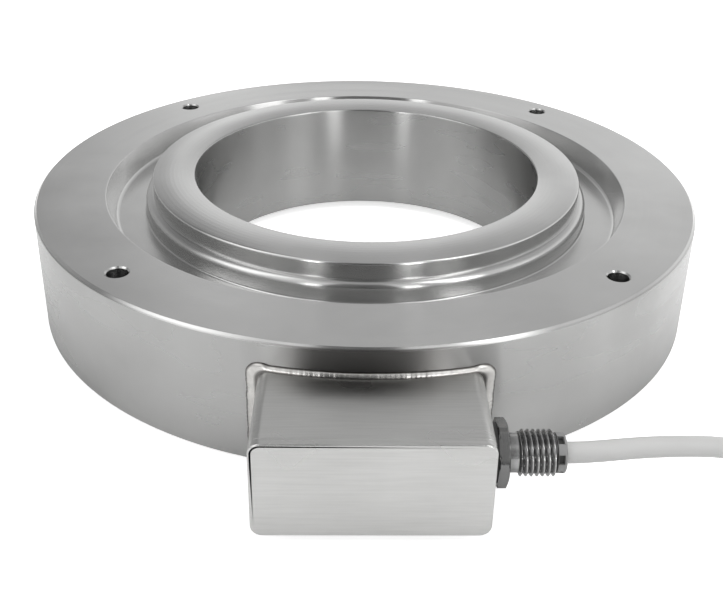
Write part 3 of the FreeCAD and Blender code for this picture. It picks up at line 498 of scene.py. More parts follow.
finishes = {
    "ringSteel": turnedSteel("ringSteel", {
        "fineness": 2600.0, "waver": 1.2, "cloudSize": 30.0, "marksShare": 0.12,
        "dark": (0.54, 0.54, 0.535), "light": (0.68, 0.68, 0.675), "smooth": 0.13, "rough": 0.23,
        "boreEdge": (0.0637, 0.0642), "wallEdge": (0.1195, 0.1199), "coarser": 0.10,
        "coarse": (0.43, 0.43, 0.425), "coarseShade": (0.38, 1.0),
        # dark colour and share of the painted shade where the box meets the ring
        "jointShade": (0.16, 0.155, 0.15), "jointShadeShare": 0.85, "anisotropy": 1.0}),
    "boxSteel": brushedSteel("boxSteel", {
        "stretch": (60.0, 1400.0, 1400.0), "cloudSize": 40.0, "dark": (0.58, 0.58, 0.57),
        "light": (0.68, 0.68, 0.67), "smooth": 0.26, "rough": 0.36, "bump": 0.15,
        # dark colour and share of the painted shade on the box next to the weld
        "jointShade": (0.16, 0.155, 0.15), "jointShadeShare": 0.52}),
    "weldSteel": weldSteel("weldSteel", {
        "stretch": (700.0, 700.0, 700.0), "cloudSize": 120.0, "dark": (0.56, 0.55, 0.53),
        "light": (0.74, 0.73, 0.71), "smooth": 0.22, "rough": 0.32, "bump": 0.2,
        # colour and share of the painted shadow along the bead's toes
        "ringToe": (0.16, 0.34), "boxToe": (0.76, 0.90), "toeShade": (0.10, 0.095, 0.09), "toeShadeShare": 0.85}),
    "glandMetal": threadedSteel("glandMetal", {
        "stretch": (1200.0, 1200.0, 1200.0), "cloudSize": 90.0, "dark": (0.40, 0.40, 0.40),
        "light": (0.54, 0.54, 0.54), "smooth": 0.18, "rough": 0.28, "bump": 0.15,
        "reach": 0.1343, "height": 0.0185, "rootToCrest": (0.0056, 0.0062), "threadFrom": (0.0388, 0.0392),
        # colour of the painted shade in the thread's roots, then the hexagon's own darker tone
        "rootShade": (0.24, 0.24, 0.24), "hexUntil": (0.0362, 0.0398), "hexShade": 0.75,
        "hexTone": (0.14, 0.14, 0.138)}),
}

usualCoat = {
    "cloudSize": 200.0, "speckSize": 2500.0, "smooth": 0.2, "rough": 0.35, "bump": 0.1, "metallic": 0.0,
}
plainCoats = {  # each says what differs from the usual one
    "cableJacket": {
        "cloudSize": 60.0, "speckSize": 2200.0, "dark": (0.48, 0.48, 0.475), "light": (0.54, 0.54, 0.535),
        "smooth": 0.42, "rough": 0.52, "bump": 0.08},
    "cagePlastic": {
        "cloudSize": 220.0, "speckSize": 1500.0, "dark": (0.18, 0.18, 0.18), "light": (0.28, 0.28, 0.28),
        "smooth": 0.38, "rough": 0.5},
    "darkRubber": {
        "cloudSize": 150.0, "speckSize": 1500.0, "dark": (0.03, 0.03, 0.03), "light": (0.06, 0.06, 0.06),
        "smooth": 0.5, "rough": 0.65, "bump": 0.2},
    "gaugeFilm": {
        "cloudSize": 500.0, "speckSize": 3000.0, "dark": (0.55, 0.30, 0.09), "light": (0.70, 0.44, 0.16)},
    "solder": {
        "cloudSize": 400.0, "dark": (0.55, 0.55, 0.57), "light": (0.72, 0.72, 0.74), "bump": 0.2,
        "metallic": 1.0},
    "copperLead": {
        "cloudSize": 400.0, "dark": (0.60, 0.26, 0.12), "light": (0.76, 0.38, 0.20), "metallic": 1.0},
    "loomSleeving": {
        "dark": (0.66, 0.64, 0.58), "light": (0.80, 0.78, 0.72), "smooth": 0.5, "rough": 0.65,
        "bump": 0.3},
    "castResin": {
        "speckSize": 1500.0, "dark": (0.02, 0.02, 0.022), "light": (0.05, 0.05, 0.055), "smooth": 0.15,
        "rough": 0.3},
    "boardLaminate": {
        "dark": (0.02, 0.12, 0.05), "light": (0.04, 0.20, 0.09), "rough": 0.3, "bump": 0.15},
    "terminalPlastic": {
        "dark": (0.03, 0.16, 0.07), "light": (0.06, 0.24, 0.11), "smooth": 0.35, "rough": 0.5,
        "bump": 0.15},
    "resistorLacquer": {
        "cloudSize": 300.0, "dark": (0.16, 0.28, 0.42), "light": (0.26, 0.40, 0.55)},
    "coreInsulation": {
        "cloudSize": 90.0, "dark": (0.42, 0.10, 0.06), "light": (0.10, 0.16, 0.42), "smooth": 0.35,
        "rough": 0.5},
}
for coatName, coatSpec in plainCoats.items():
    finishes[coatName] = plainCoat(coatName, {**usualCoat, **coatSpec})
print("finishes made")

nodesIn = {
    "ringSteel": ["ring_body", "gauge_cover_ring"],
    "boxSteel": ["box_housing", "box_front_plate", "board_standoffs", "board_screws"],
    "weldSteel": ["box_weld_bead"],
    "glandMetal": ["gland_body", "gland_locknut"],
    "cableJacket": ["cable_in_gland", "cable", "cable_coil", "cable_tail"],
    "cagePlastic": ["gland_clamp_cage"],
    "darkRubber": ["gland_washer", "gland_seal", "cable_end_sleeve"],
    "gaugeFilm": ["strain_gauge_" + str(i) for i in range(1, 9)],
    "solder": ["gauge_solder_tabs"],
    "copperLead": ["gauge_leads"],
    "loomSleeving": ["bridge_loom"],
    "castResin": ["duct_plug"],
    "boardLaminate": ["circuit_board"],
    "terminalPlastic": ["terminal_block"],
    "resistorLacquer": ["trim_resistors"],
    "coreInsulation": ["inner_cores", "cable_end_cores"],
}


def dressNodes():
    for finish, names in nodesIn.items():
        for name in names:
            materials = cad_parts[name].data.materials
            materials.clear()
            materials.append(finishes[finish])


dressNodes()

# turned ring: one profile about Z, then the fixing holes and the wire duct

turnedRing = {
    "segments": 288,
    "boreFoot": (0.0636, 0.0028, 0.0005),     # radius, height, chamfer
    "hubInner": (0.0636, 0.04615, 0.0008),    # radius, height, round
    "hubOuter": (0.0788, 0.04615, 0.0008),
    "crownRise": 0.0008,
    "crownSteps": 10,
    "shoulder": [(0.0788, 0.0405, 0.0001), (0.0816, 0.0405, 0.00263), (0.0816, 0.0335, 0.0007)],
    "recess": [(0.0925, 0.0335, 0.0015), (0.0955, 0.0418, 0.0003)],
    "outerTop": (0.1200, 0.0418, 0.001),
    "outerFoot": (0.1200, 0.0, 0.001),
    "underside": [(0.0955, 0.0, 0.0002), (0.0955, 0.0044, 0.0), (0.0940, 0.0044, 0.0),
                  (0.0940, 0.0223, 0.0003), (0.0805, 0.0223, 0.003), (0.0805, 0.0044, 0.0),
                  (0.0790, 0.0044, 0.0), (0.0790, 0.0028, 0.0002)],
    "holes": 4,
    "firstHole": 45.0,                        # degrees from the cable's side
    "holeCircle": 0.1095,
    "holeRadius": 0.0034,
    "holeSink": 0.0005,
    "ductRadius": 0.0035,
    "ductHeight": 0.01878,
    "ductFrom": 0.092,
    "overrun": 0.001,                         # how far the cutters reach past a face
    "support": 0.00015,
}

chamferRound = 0.00008  # left on a chamfer's two corners


def chamferedCorner(radius, height, cut, before, after):  # two corners in place of one
    return [(radius + way[0] * cut, height + way[1] * cut, chamferRound) for way in (before, after)]


def ringProfile(spec):
    corners = chamferedCorner(*spec["boreFoot"], (1, 0), (0, 1))
    (r0, z0, round0), (r1, z1, round1) = spec["hubInner"], spec["hubOuter"]
    corners.append((r0, z0, round0))
    for i in range(1, spec["crownSteps"]):
        share = i / spec["crownSteps"]
        corners.append((r0 + (r1 - r0) * share, z0 + spec["crownRise"] * (1 - (2 * share - 1) ** 2), 0.0))
    corners.append((r1, z1, round1))
    corners += spec["shoulder"] + spec["recess"]
    corners += chamferedCorner(*spec["outerTop"], (-1, 0), (0, -1))
    corners += chamferedCorner(*spec["outerFoot"], (0, 1), (-1, 0))
    corners += spec["underside"]
    return withSupports(roundedOutline(corners), spec["support"])


def makeTurnedRing(spec):
    verts, faces = lathe(ringProfile(spec), spec["segments"])
    ring = linkMesh("turnedRing", verts, faces, finishes["ringSteel"])
    top, past, r, sink = spec["outerTop"][1], spec["overrun"], spec["holeRadius"], spec["holeSink"]
    wide = r + sink + past
    hole = [(0, -past), (wide, -past), (r, sink), (r, top - sink), (wide, top + past), (0, top + past)]
    cutters = []
    for i in range(spec["holes"]):
        turn = math.radians(spec["firstHole"] + 360 / spec["holes"] * i)
        place = (spec["holeCircle"] * math.cos(turn), spec["holeCircle"] * math.sin(turn), 0)
        cutters.append(turnedCutter(hole, place))
    start, end, r = spec["ductFrom"], spec["outerTop"][0] + past, spec["ductRadius"]
    duct = [(0, start), (r, start), (r, end), (0, end)]
    cutters.append(turnedCutter(duct, (0, 0, spec["ductHeight"]), "Y"))
    cutAway(ring, cutters)
    smoothMesh(ring.data)
    placePiece(ring, "ring_steel", "ring_body")


makeTurnedRing(turnedRing)
print("ring turned")

# welded box: a shell cut to the ring's curve, and its front plate

weldedBox = {
    "halfWidth": 0.0315,
    "bottom": 0.0034,
    "top": 0.0329,
    "wall": 0.0026,
    "corner": 0.0032,
    "innerCorner": 0.0012,
    "ringRadius": 0.1200,
    "jointReach": 0.1472,
    "reach": 0.1498,
    "frontRound": 0.0005,
    "frontSteps": 8,
    "jointRound": 0.00005,
    "glandReach": 0.1343,
    "glandHeight": 0.0185,
    "glandHole": 0.00605,
    "holeFrom": 0.006,       # the gland's hole is cut from this far inside the box's side
    "holeLength": 0.010,
    "support": 0.0004,
    "longEdge": 0.004,       # only edges longer than this get supports
    "edgeHold": 4,           # rows of points beside a small round, in rounds from the joint
}


def boxOutline(spec, inset, corner):
    half = spec["halfWidth"] - inset
    low, high = spec["bottom"] + inset, spec["top"] - inset
    corners = [(-half, low, corner), (half, low, corner), (half, high, corner), (-half, high, corner)]
    return withSupports(roundedOutline(corners), spec["support"], spec["longEdge"])


def insetOutline(spec, inset):
    return boxOutline(spec, inset, spec["corner"] - inset)


def skin(rings):  # outlines with equally many points
    return [point for ring in rings for point in ring], gridFaces(len(rings), len(rings[0]), closed=False)


def makeBoxShell(spec):
    def saddle(point):
        return (point[0], -math.sqrt(spec["ringRadius"] ** 2 - point[0] ** 2), point[1])

    def level(point, reach):
        return (point[0], -reach, point[1])

    outside, inside = boxOutline(spec, 0, spec["corner"]), boxOutline(spec, spec["wall"], spec["innerCorner"])
    edge, joint = spec["jointRound"], spec["jointReach"]
    hold, drawn = spec["edgeHold"] * edge, insetOutline(spec, edge)
    rings = [[saddle(p) for p in inside], [saddle(p) for p in outside],
             [level(p, 0.5 * (spec["ringRadius"] + joint)) for p in outside],
             [level(p, joint - hold) for p in outside], [level(p, joint - edge) for p in outside],
             [level(p, joint) for p in drawn], [level(p, joint) for p in inside]]
    verts, faces = skin(rings + [rings[0]])
    shell = linkMesh("boxShell", verts, faces, finishes["boxSteel"])
    radius, length = spec["glandHole"], spec["holeLength"]
    place = (spec["halfWidth"] - spec["holeFrom"], -spec["glandReach"], spec["glandHeight"])
    hole = turnedCutter([(0, 0), (radius, 0), (radius, length), (0, length)], place, "X")
    cleanMesh(shell.data, merge=True)
    cutAway(shell, [hole])
    smoothMesh(shell.data)
    placePiece(shell, "box_steel", "box_housing")


def makeFrontPlate(spec):
    soft, edge = spec["frontRound"], spec["jointRound"]
    joint, front, hold = spec["jointReach"], spec["reach"], spec["edgeHold"] * edge
    rings = [[(x, -joint, z) for x, z in insetOutline(spec, edge)]]
    for reach in (joint + edge, joint + hold, front - soft - hold):
        rings.append([(x, -reach, z) for x, z in boxOutline(spec, 0, spec["corner"])])
    for i in range(spec["frontSteps"] + 1):
        angle = math.radians(90 * i / spec["frontSteps"])
        rings.append([(x, -(front - soft + soft * math.sin(angle)), z)
                      for x, z in insetOutline(spec, soft * (1 - math.cos(angle)))])
    rings.append([(x, -front, z) for x, z in insetOutline(spec, 2 * soft)])
    verts, faces = skin(rings)
    count = len(rings[0])
    faces += [tuple(range(count)), tuple(reversed(range(len(verts) - count, len(verts))))]
    plate = linkMesh("boxFrontPlate", verts, faces, finishes["boxSteel"])
    placePiece(plate, "box_steel", "box_front_plate")


makeBoxShell(weldedBox)
makeFrontPlate(weldedBox)
print("box made")

# weld between box and ring: a rippled fillet that follows the saddle

weldBead = {
    "leg": 0.0014,
    "sideLeg": 0.0036,
    "cornerSwell": 0.0005,   # more metal where the weld turns the box's corners
    "bulge": 0.715,          # share of the way from the straight line to the corner of the legs
    "rippleLength": 0.0014,
    "rippleDepth": 0.03,
    "rippleRise": 0.5,       # power that makes each ripple rise fast and run out slowly
    "rippleMiddle": 0.6,
    "waver": 0.06,
    "waverFineness": 400,
    "alongStep": 0.00022,
    "headingSteps": 3,       # steps to both sides that give the weld's heading
    "acrossSteps": 9,
    "sharpAngle": 50.0,
}


def evenly(points, step):  # (x, y, distance) at an even step along a closed outline
    result, done, carried = [], 0.0, 0.0
    for i, here in enumerate(points):
        after = points[(i + 1) % len(points)]
        span = math.dist(here, after)
        while carried < span:
            result.append((*between(here, after, carried / span), done + carried))
            carried += step
        carried -= span
        done += span
    return result, done


def onRing(box, x, z, out):  # point on the ring's wall, or this far outside it
    return Vector((x, -math.sqrt((box["ringRadius"] + out) ** 2 - x ** 2), z))


def makeWeldBead(spec, box):
    path, length = evenly(boxOutline(box, 0, box["corner"]), spec["alongStep"])
    total = len(path)
    ripples = round(length / spec["rippleLength"])
    verts, across = [], []
    for i, (x, z, done) in enumerate(path):
        before, after = path[i - spec["headingSteps"]], path[(i + spec["headingSteps"]) % total]
        way = Vector((after[0] - before[0], after[1] - before[1])).normalized()
        out = Vector((way.y, -way.x))
        phase = (done / length * ripples) % 1.0
        swell = 1 + spec["rippleDepth"] * (phase ** spec["rippleRise"] - spec["rippleMiddle"])
        swell += spec["waver"] * noise.noise(Vector((x, z, 0)) * spec["waverFineness"])
        wide = math.hypot(out.x * spec["sideLeg"], out.y * spec["leg"])
        wide = (wide + spec["cornerSwell"] * abs(2 * out.x * out.y)) * swell
        leg = spec["leg"] * swell
        ringPoint = onRing(box, x + out.x * wide, z + out.y * wide, 0)
        boxPoint = Vector((x, onRing(box, x, z, 0).y - leg, z))
        pull = onRing(box, x + out.x * wide, z + out.y * wide, leg)
        middle = (ringPoint + boxPoint) / 2
        pull = middle + (pull - middle) * spec["bulge"]
        root = onRing(box, x, z, 0)
        for j in range(spec["acrossSteps"]):
            t = j / (spec["acrossSteps"] - 1)
            verts.append(ringPoint * (1 - t) ** 2 + pull * (2 * t * (1 - t)) + boxPoint * t ** 2)
            across.append(t)
        verts.append(root)
        across.append(0.0)
    faces = gridFaces(total, spec["acrossSteps"] + 1)
    bead = linkMesh("weldBead", verts, faces, finishes["weldSteel"], spec["sharpAngle"])
    mark = bead.data.attributes.new("across", "FLOAT", "POINT")
    mark.data.foreach_set("value", across)
    placePiece(bead, "weld_steel", "box_weld_bead")


makeWeldBead(weldBead, weldedBox)
print("bead laid")

# cable gland: hexagon, neck and a helical thread about X

cableGland = {
    "face": 0.0333,
    "reach": 0.1343,
    "height": 0.0185,
    "acrossFlats": 0.017,
    "hexTurn": 47.0,
    "hexThickness": 0.00295,
    "hexChamfer": 0.0007,
    "chamferSlope": 2.2,
    "chamferSteps": 8,
    "hexBack": [(0.0, 0.00096), (0.0002, 0.00008), (0.0006, 0.0)],  # along the axis, cut from the corners
    "hexCorner": 0.0004,
    "stubRadius": 0.00595,
    "stubLength": 0.009,
    "neckRadius": 0.0053,
    "neckLength": 0.0028,
    "neckFillet": 0.0002,
    "threadRadius": 0.0063,
    "pitch": 0.0015,
    "turns": 6.76,
    "crest": 0.16,           # share of the pitch
    "threadFade": (2.5, 4),  # how steeply the thread comes up and runs out, per pitch
    "chamberRadius": 0.0044,
    "chamberDepth": 0.010,
    "cableHole": 0.00295,
    "around": 144,
    "perPitch": 14,
    "sharpAngle": 28.0,
}


def hexRadius(spec, angle):
    half, twelfth = spec["acrossFlats"] / 2, math.radians(30)
    away = (angle + twelfth) % (2 * twelfth) - twelfth
    corner = half / math.cos(twelfth) - spec["hexCorner"]
    return min(half / math.cos(twelfth - abs(away)), corner)


def threadRadius(spec, angle, along):
    total = spec["turns"] * spec["pitch"]
    phase = (along / spec["pitch"] - angle / (2 * math.pi)) % 1.0
    away = abs(phase - 0.5) * 2
    depth = spec["threadRadius"] - spec["neckRadius"]
    height = min(1.0, max(0.0, (1 - away) / (1 - spec["crest"])))
    rise, fall = spec["threadFade"]
    fade = min(1.0, along / spec["pitch"] * rise, (total - along) / spec["pitch"] * fall)
    return spec["neckRadius"] + depth * height * max(0.0, fade)


def makeGlandBody(spec):
    thickness, chamfer = spec["hexThickness"], spec["hexChamfer"]
    widest = spec["acrossFlats"] / 2 / math.cos(math.radians(30))
    back, hole, stub, neck = -spec["stubLength"], spec["cableHole"], spec["stubRadius"], spec["neckRadius"]
    # each row is a place along the axis and a radius for each angle
    rows = [(back, lambda a: hole), (back, lambda a: stub), (0.0, lambda a: stub)]
    hexRows = spec["hexBack"] + [(thickness / 2, 0.0)]
    for i in range(spec["chamferSteps"] + 1):
        share = i / spec["chamferSteps"]
        hexRows.append((thickness - chamfer * (1 - share), spec["chamferSlope"] * chamfer * share))
    for along, cut in hexRows:
        rows.append((along, lambda a, cut=cut: min(hexRadius(spec, a), widest - cut)))
    start, step = thickness + spec["neckLength"], spec["neckFillet"]
    rows += [(thickness, lambda a: neck + step), (thickness + step, lambda a: neck)]
    steps = round(spec["turns"] * spec["perPitch"])
    for i in range(steps + 1):
        along = i / steps * spec["turns"] * spec["pitch"]
        rows.append((start + along, lambda a, along=along: threadRadius(spec, a, along)))
    end = start + spec["turns"] * spec["pitch"]
    chamber, floor = spec["chamberRadius"], end - spec["chamberDepth"]
    rows += [(end, lambda a: chamber), (floor, lambda a: chamber), (floor, lambda a: hole)]
    around = spec["around"]
    verts = []
    for along, radius in rows:
        for i in range(around):
            angle = 2 * math.pi * i / around
            turn = angle + math.radians(270 - spec["hexTurn"])
            verts.append((spec["face"] + along, -spec["reach"] + radius(angle) * math.cos(turn),
                          spec["height"] + radius(angle) * math.sin(turn)))
    faces = gridFaces(len(rows), around)
    gland = linkMesh("glandBody", verts, faces, finishes["glandMetal"], spec["sharpAngle"])
    placePiece(gland, "gland_metal", "gland_body")


makeGlandBody(cableGland)
print("gland cut")

# clamp cage: fingers between the gland's mouth and a rim, dark in the windows

clampCage = {
    "shankStart": 0.04679,
    "headStart": 0.04949,
    "rimStart": 0.05119,
    "end": 0.05199,
    "shankRadius": 0.00435,
    "headRadius": 0.0054,
    "rimRound": 0.0005,
    "hole": 0.00295,
    "windowFloor": 0.0042,
    "windowWidth": 0.0026,
    "windows": 6,
    "turn": 14.0,
    "segments": 96,
    "clearance": 0.0001,     # between the windows and the head's back
    "overrun": 0.001,
    "darkWithin": 0.0008,    # the faces this far inside the rim get the seal's dark rubber, which also stands in for painted shade deep in the narrow windows
    "support": 0.0001,
    "longEdge": 0.0008,
}


def makeClampCage(spec, gland):
    (low, high), outer = (spec["shankStart"], spec["end"]), spec["headRadius"]
    start = spec["headStart"]
    profile = withSupports(roundedOutline([
        (spec["hole"], 0.0, 0.0002), (spec["shankRadius"], 0.0, 0.0001),
        (spec["shankRadius"], start - low, 0.0001), (outer, start - low, 0.0002),
        (outer, high - low, spec["rimRound"]), (spec["hole"], high - low, 0.0003)]),
        spec["support"], spec["longEdge"])
    verts, faces = lathe(profile, spec["segments"])
    cage = linkMesh("clampCage", verts, faces, finishes["cagePlastic"])
    cage.data.materials.append(finishes["darkRubber"])
    cutters = []
    first, length, width = start - low + spec["clearance"], spec["rimStart"] - start, spec["windowWidth"]
    for i in range(spec["windows"]):
        turn = math.radians(spec["turn"] + 360 * i / spec["windows"])
        cutters.append(windowCutter(spec["windowFloor"], outer + spec["overrun"], width, first, length, turn))
    cutAway(cage, cutters)
    # the seal's dark rubber shows in the windows, and also stands in for painted shade deep in them
    for face in cage.data.polygons:
        across = math.hypot(face.center.x, face.center.y)
        if start - low < face.center.z < spec["rimStart"] - low and across < outer - spec["darkWithin"]:
            face.material_index = 1
    onAxis = Matrix.Translation((low, -gland["reach"], gland["height"]))
    cage.data.transform(onAxis @ Matrix.Rotation(math.pi / 2, 4, "Y"))
    smoothMesh(cage.data)
    placePiece(cage, "cage_plastic", "gland_clamp_cage")


def windowCutter(inner, outer, width, low, length, turn):
    half = width / 2
    corners = [(inner, -half, low), (outer, -half, low), (outer, half, low), (inner, half, low)]
    verts = [Vector(c) for c in corners] + [Vector(c) + Vector((0, 0, length)) for c in corners]
    faces = [(3, 2, 1, 0), (4, 5, 6, 7), (0, 1, 5, 4), (1, 2, 6, 5), (2, 3, 7, 6), (3, 0, 4, 7)]
    return linkMesh("cutter", [Matrix.Rotation(turn, 3, "Z") @ v for v in verts], faces)


makeClampCage(clampCage, cableGland)
print("clamp cage set")

# cable: one line from the gland to the coil, round it and out to its free end

cableRoute = {
    "radius": 0.0029,
    "entry": [(0.0520, -0.1343, 0.0185), (0.0580, -0.1343, 0.0185), (0.0745, -0.1320, 0.0187),
              (0.0945, -0.1283, 0.0163), (0.1125, -0.1242, 0.0107), (0.1420, -0.1215, 0.0029),
              (0.1900, -0.1208, 0.0029), (0.2060, -0.1208, 0.0029)],
    "coilCentre": (0.2320, -0.0800),
    "coilMean": 0.0350,
    "coilColumns": 3,
    "coilLayers": 4,
    "pointsPerTurn": 16,
    "stepAside": 0.25,       # share of a turn in which it goes over to the next column
    "resolution": 4,
    "bevelSteps": 5,
    "tail": [(0.2728, -0.0540, 0.0203), (0.2728, -0.0400, 0.0203), (0.2725, -0.0239, 0.0150),
             (0.2705, -0.0079, 0.0076), (0.2659, 0.0086, 0.0033), (0.2587, 0.0241, 0.0033)],
    "length": 2.99,
}


def coilPoints(spec):  # from the outer bottom turn, in and out by layers, a diameter apart
    x, y = spec["coilCentre"]
    total = spec["coilColumns"] * spec["coilLayers"]
    steps = spec["pointsPerTurn"]
    last = int((total + 0.25) * steps)  # a quarter turn more, so that it leaves towards the tail
    points = []
    for step in range(last + 1):
        turns = step / steps
        turn = min(int(turns), total - 1)
        share = min(1.0, max(0.0, 1 - (turn + 1 - turns) / spec["stepAside"])) if turn < total - 1 else 0.0
        out, up = between(turnPlace(spec, turn), turnPlace(spec, min(turn + 1, total - 1)), share)
        angle = 2 * math.pi * turns - math.pi / 2
        points.append((x + out * math.cos(angle), y + out * math.sin(angle), up))
    return points


def turnPlace(spec, turn):  # radius and height of one turn
    layer, column = divmod(turn, spec["coilColumns"])
    if layer % 2:
        column = spec["coilColumns"] - 1 - column
    outer = spec["coilMean"] + (spec["coilColumns"] - 1) * spec["radius"]
    return outer - 2 * spec["radius"] * column, spec["radius"] * (1 + 2 * layer)


def makeCable(spec):
    points = spec["entry"] + coilPoints(spec) + spec["tail"]
    data = bpy.data.curves.new("signalCable", "CURVE")
    data.dimensions = "3D"
    spline = data.splines.new("NURBS")
    spline.points.add(len(points) - 1)
    for point, place in zip(spline.points, points):
        point.co = (*place, 1.0)
    spline.order_u = 3
    spline.use_endpoint_u = True
    spline.resolution_u = spec["resolution"]
    data.bevel_depth = spec["radius"]
    data.bevel_resolution = spec["bevelSteps"]
    data.use_fill_caps = True
    data.materials.append(finishes["cableJacket"])
    cable = bpy.data.objects.new("signalCable", data)
    bpy.context.scene.collection.objects.link(cable)
    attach(cable, "root")
    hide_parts("cable", "cable_coil", "cable_tail")
    return cable


cable = makeCable(cableRoute)
print("cable laid")

# floor, room and lamp

studioFloor = {
    "size": 6.0,
    "paper": (0.80, 0.80, 0.80),
    "cameraGlow": 0.70,      # keeps the paper white around a faint shadow
    "mirrorGlow": 0.05,      # what reflections see on top of the lit paper
    "besideGlow": 0.16,      # more of it to both sides of the ring
    "cableSideGlow": 0.22,   # and more again on the cable's side
    "besideFrom": (0.125, 0.165),
    "cableSideFrom": (0.09, 0.14),
}

studioRoom = {
    "mirrorPeak": 4.0,           # brightness that the stops round the room are scaled by
    # azimuth in degrees from the camera's side, towards the cable; brightness before scaling
    "around": [(-180, 0.36), (-110, 0.34), (-80, 0.18), (-34, 0.15), (-31, 0.4), (-23, 0.4), (-21, 0.02),
               (0, 0.01), (16, 0.02), (18, 0.4), (27, 0.4), (30, 0.14), (60, 0.20), (85, 0.34), (180, 0.38)],
    "aloft": [(-180, 0.28), (-135, 0.36), (-115, 0.50), (-92, 0.52), (-60, 0.46), (-56, 0.28), (-35, 0.20),
              (-31, 0.24), (-23, 0.24), (-20.5, 0.05), (0, 0.03), (15, 0.05), (17, 0.26), (20, 0.24),
              (21, 0.14), (22, 0.24), (25, 0.24), (26, 0.14), (27, 0.22), (31, 0.12), (41, 0.16), (44, 0.80),
              (60, 0.80), (64, 0.20), (90, 0.24), (108, 0.34), (112, 0.60), (125, 0.60), (130, 0.32),
              (180, 0.28)],
    "aloftFrom": (0.36, 0.46),   # height of the direction at which the stops aloft take over
    "strips": [(-32, 0.0), (-30, 1.7), (-24, 1.7), (-22, 0.0), (17, 0.0), (19, 1.9), (26, 1.9), (28, 0.0)],
    "stripEdge": (0.18, 0.26),
    "stripAbove": 0.34,          # share of them that goes on above this edge, up to their end
    "stripEnd": (0.54, 0.62),
    "softbox": [(41, 0.0), (44, 0.66), (57, 0.66), (61, 0.0)],
    "softboxEdge": (0.28, 0.36),
    # height of the direction, from level (0) to straight up (1); brightness of the far wall
    "rise": [(0.0, 1.0), (0.31, 0.93), (0.37, 0.80), (0.53, 0.56), (0.60, 0.50), (0.80, 0.50), (1.0, 0.50)],
    "farPeak": 1.14,
    # sideways part of the direction; share of the far wall's brightness
    "sideways": [(-0.60, 0.40), (-0.27, 0.50), (-0.20, 0.74), (-0.16, 0.96), (-0.11, 1.0), (-0.04, 0.88),
                 (0.30, 0.88), (0.60, 0.88)],
    "sidewaysReach": 0.60,
    "frontEdge": (-0.12, 0.12),
    "ceiling": (0.91, 0.97),
    "ceilingTone": 0.50,
}

overheadLamp = {
    "place": (0.10, 0.25, 1.30),
    "aim": (0, 0, 0),
    "size": (1.1, 1.1),
    "power": 9.0,
}


def makeFloor(spec):
    half = spec["size"] / 2
    corners = [(-half, -half, 0), (half, -half, 0), (half, half, 0), (-half, half, 0)]
    floor = linkMesh("floor", corners, [(0, 1, 2, 3)])
    material, nodes, links, shader = newMaterial("floorPaper")
    output = nodes["Material Output"]
    nodes.remove(shader)
    path = nodes.new("ShaderNodeLightPath")
    paper = nodes.new("ShaderNodeBsdfDiffuse")
    paper.inputs["Color"].default_value = (*spec["paper"], 1)
    glow = nodes.new("ShaderNodeEmission")
    x = placeParts(nodes, links)[0]
    beside = remap(nodes, links, mathNode(nodes, links, "ABSOLUTE", x), *spec["besideFrom"],
                   spec["mirrorGlow"], spec["mirrorGlow"] + spec["besideGlow"])
    cableSide = remap(nodes, links, x, *spec["cableSideFrom"], 0.0, spec["cableSideGlow"])
    mirrored = times(nodes, links, path.outputs["Is Glossy Ray"],
                     mathNode(nodes, links, "ADD", beside, cableSide))
    seen = times(nodes, links, path.outputs["Is Camera Ray"], spec["cameraGlow"])
    links.new(mathNode(nodes, links, "ADD", seen, mirrored), glow.inputs["Strength"])
    add = nodes.new("ShaderNodeAddShader")
    links.new(paper.outputs[0], add.inputs[0])
    links.new(glow.outputs[0], add.inputs[1])
    links.new(add.outputs[0], output.inputs["Surface"])
    floor.data.materials.append(material)


def rampNode(nodes, links, value, stops, low, high):  # stops are (value, brightness), from low to high
    node = nodes.new("ShaderNodeValToRGB")
    links.new(remap(nodes, links, value, low, high), node.inputs["Fac"])
    elements = node.color_ramp.elements
    while len(elements) < len(stops):
        elements.new(0.5)
    for element, (at, tone) in zip(elements, stops):
        element.position = (at - low) / (high - low)
        element.color = (tone, tone, tone, 1)
    return node.outputs["Color"]


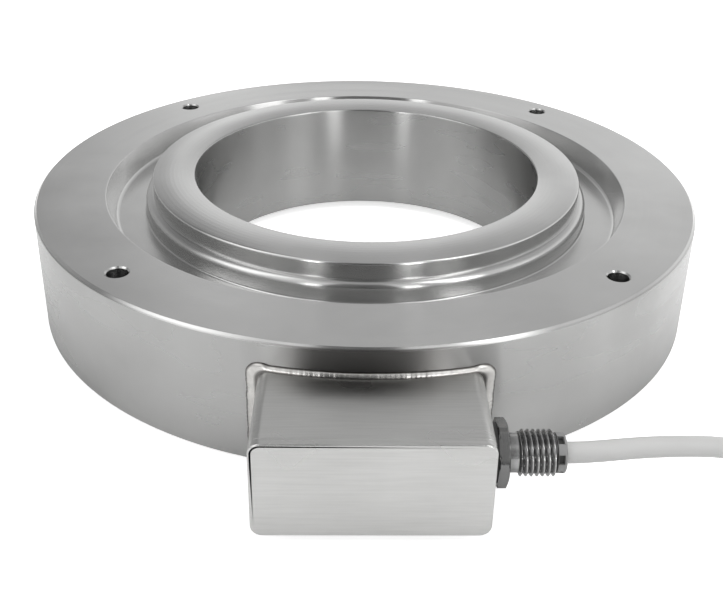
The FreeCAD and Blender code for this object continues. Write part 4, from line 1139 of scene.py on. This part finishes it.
def makeWorld(spec):
    world = bpy.data.worlds.new("studioRoom")
    bpy.context.scene.world = world
    world.use_nodes = True
    nodes, links = world.node_tree.nodes, world.node_tree.links
    back = nodes["Background"]
    x, y, z = placeParts(nodes, links, "Generated")
    angle = mathNode(nodes, links, "ARCTAN2", x, times(nodes, links, y, -1.0))
    azimuth = times(nodes, links, angle, 180 / math.pi)
    low, high, softbox, strips = [rampNode(nodes, links, azimuth, spec[label], -180, 180)
                                  for label in ("around", "aloft", "softbox", "strips")]
    softbox = times(nodes, links, softbox, remap(nodes, links, z, *spec["softboxEdge"]))
    strips = times(nodes, links, strips, remap(nodes, links, z, *spec["stripEdge"], 1.0, spec["stripAbove"]))
    strips = times(nodes, links, strips, remap(nodes, links, z, *spec["stripEnd"], 1.0, 0.0))
    lifted = remap(nodes, links, z, *spec["aloftFrom"])
    around = blend(nodes, links, lifted, mathNode(nodes, links, "MAXIMUM", low, softbox), high)
    front = times(nodes, links, mathNode(nodes, links, "MAXIMUM", around, strips), spec["mirrorPeak"])
    far = times(nodes, links, rampNode(nodes, links, z, spec["rise"], 0, 1),
                rampNode(nodes, links, x, spec["sideways"], -spec["sidewaysReach"], spec["sidewaysReach"]))
    far = times(nodes, links, far, spec["farPeak"])
    behind = remap(nodes, links, y, *spec["frontEdge"])
    overhead = remap(nodes, links, z, *spec["ceiling"])
    walls = blend(nodes, links, behind, front, far)
    room = blend(nodes, links, overhead, walls, spec["ceilingTone"])
    path = nodes.new("ShaderNodeLightPath")
    links.new(blend(nodes, links, path.outputs["Is Camera Ray"], room, 1.0), back.inputs["Strength"])
    back.inputs["Color"].default_value = (1, 1, 1, 1)


def makeLamp(name, spec):
    data = bpy.data.lights.new(name, "AREA")
    data.shape = "RECTANGLE"
    data.size, data.size_y = spec["size"]
    data.energy = spec["power"]
    lamp = bpy.data.objects.new(name, data)
    lamp.location = spec["place"]
    lamp.rotation_mode = "QUATERNION"
    lamp.rotation_quaternion = (Vector(spec["aim"]) - Vector(spec["place"])).to_track_quat("-Z", "Y")
    bpy.context.scene.collection.objects.link(lamp)
    lamp.visible_glossy = False  # the room alone is mirrored in the metal


makeFloor(studioFloor)
makeWorld(studioRoom)
makeLamp("overhead", overheadLamp)
bpy.context.scene.view_settings.view_transform = "Standard"
print("studio lit")
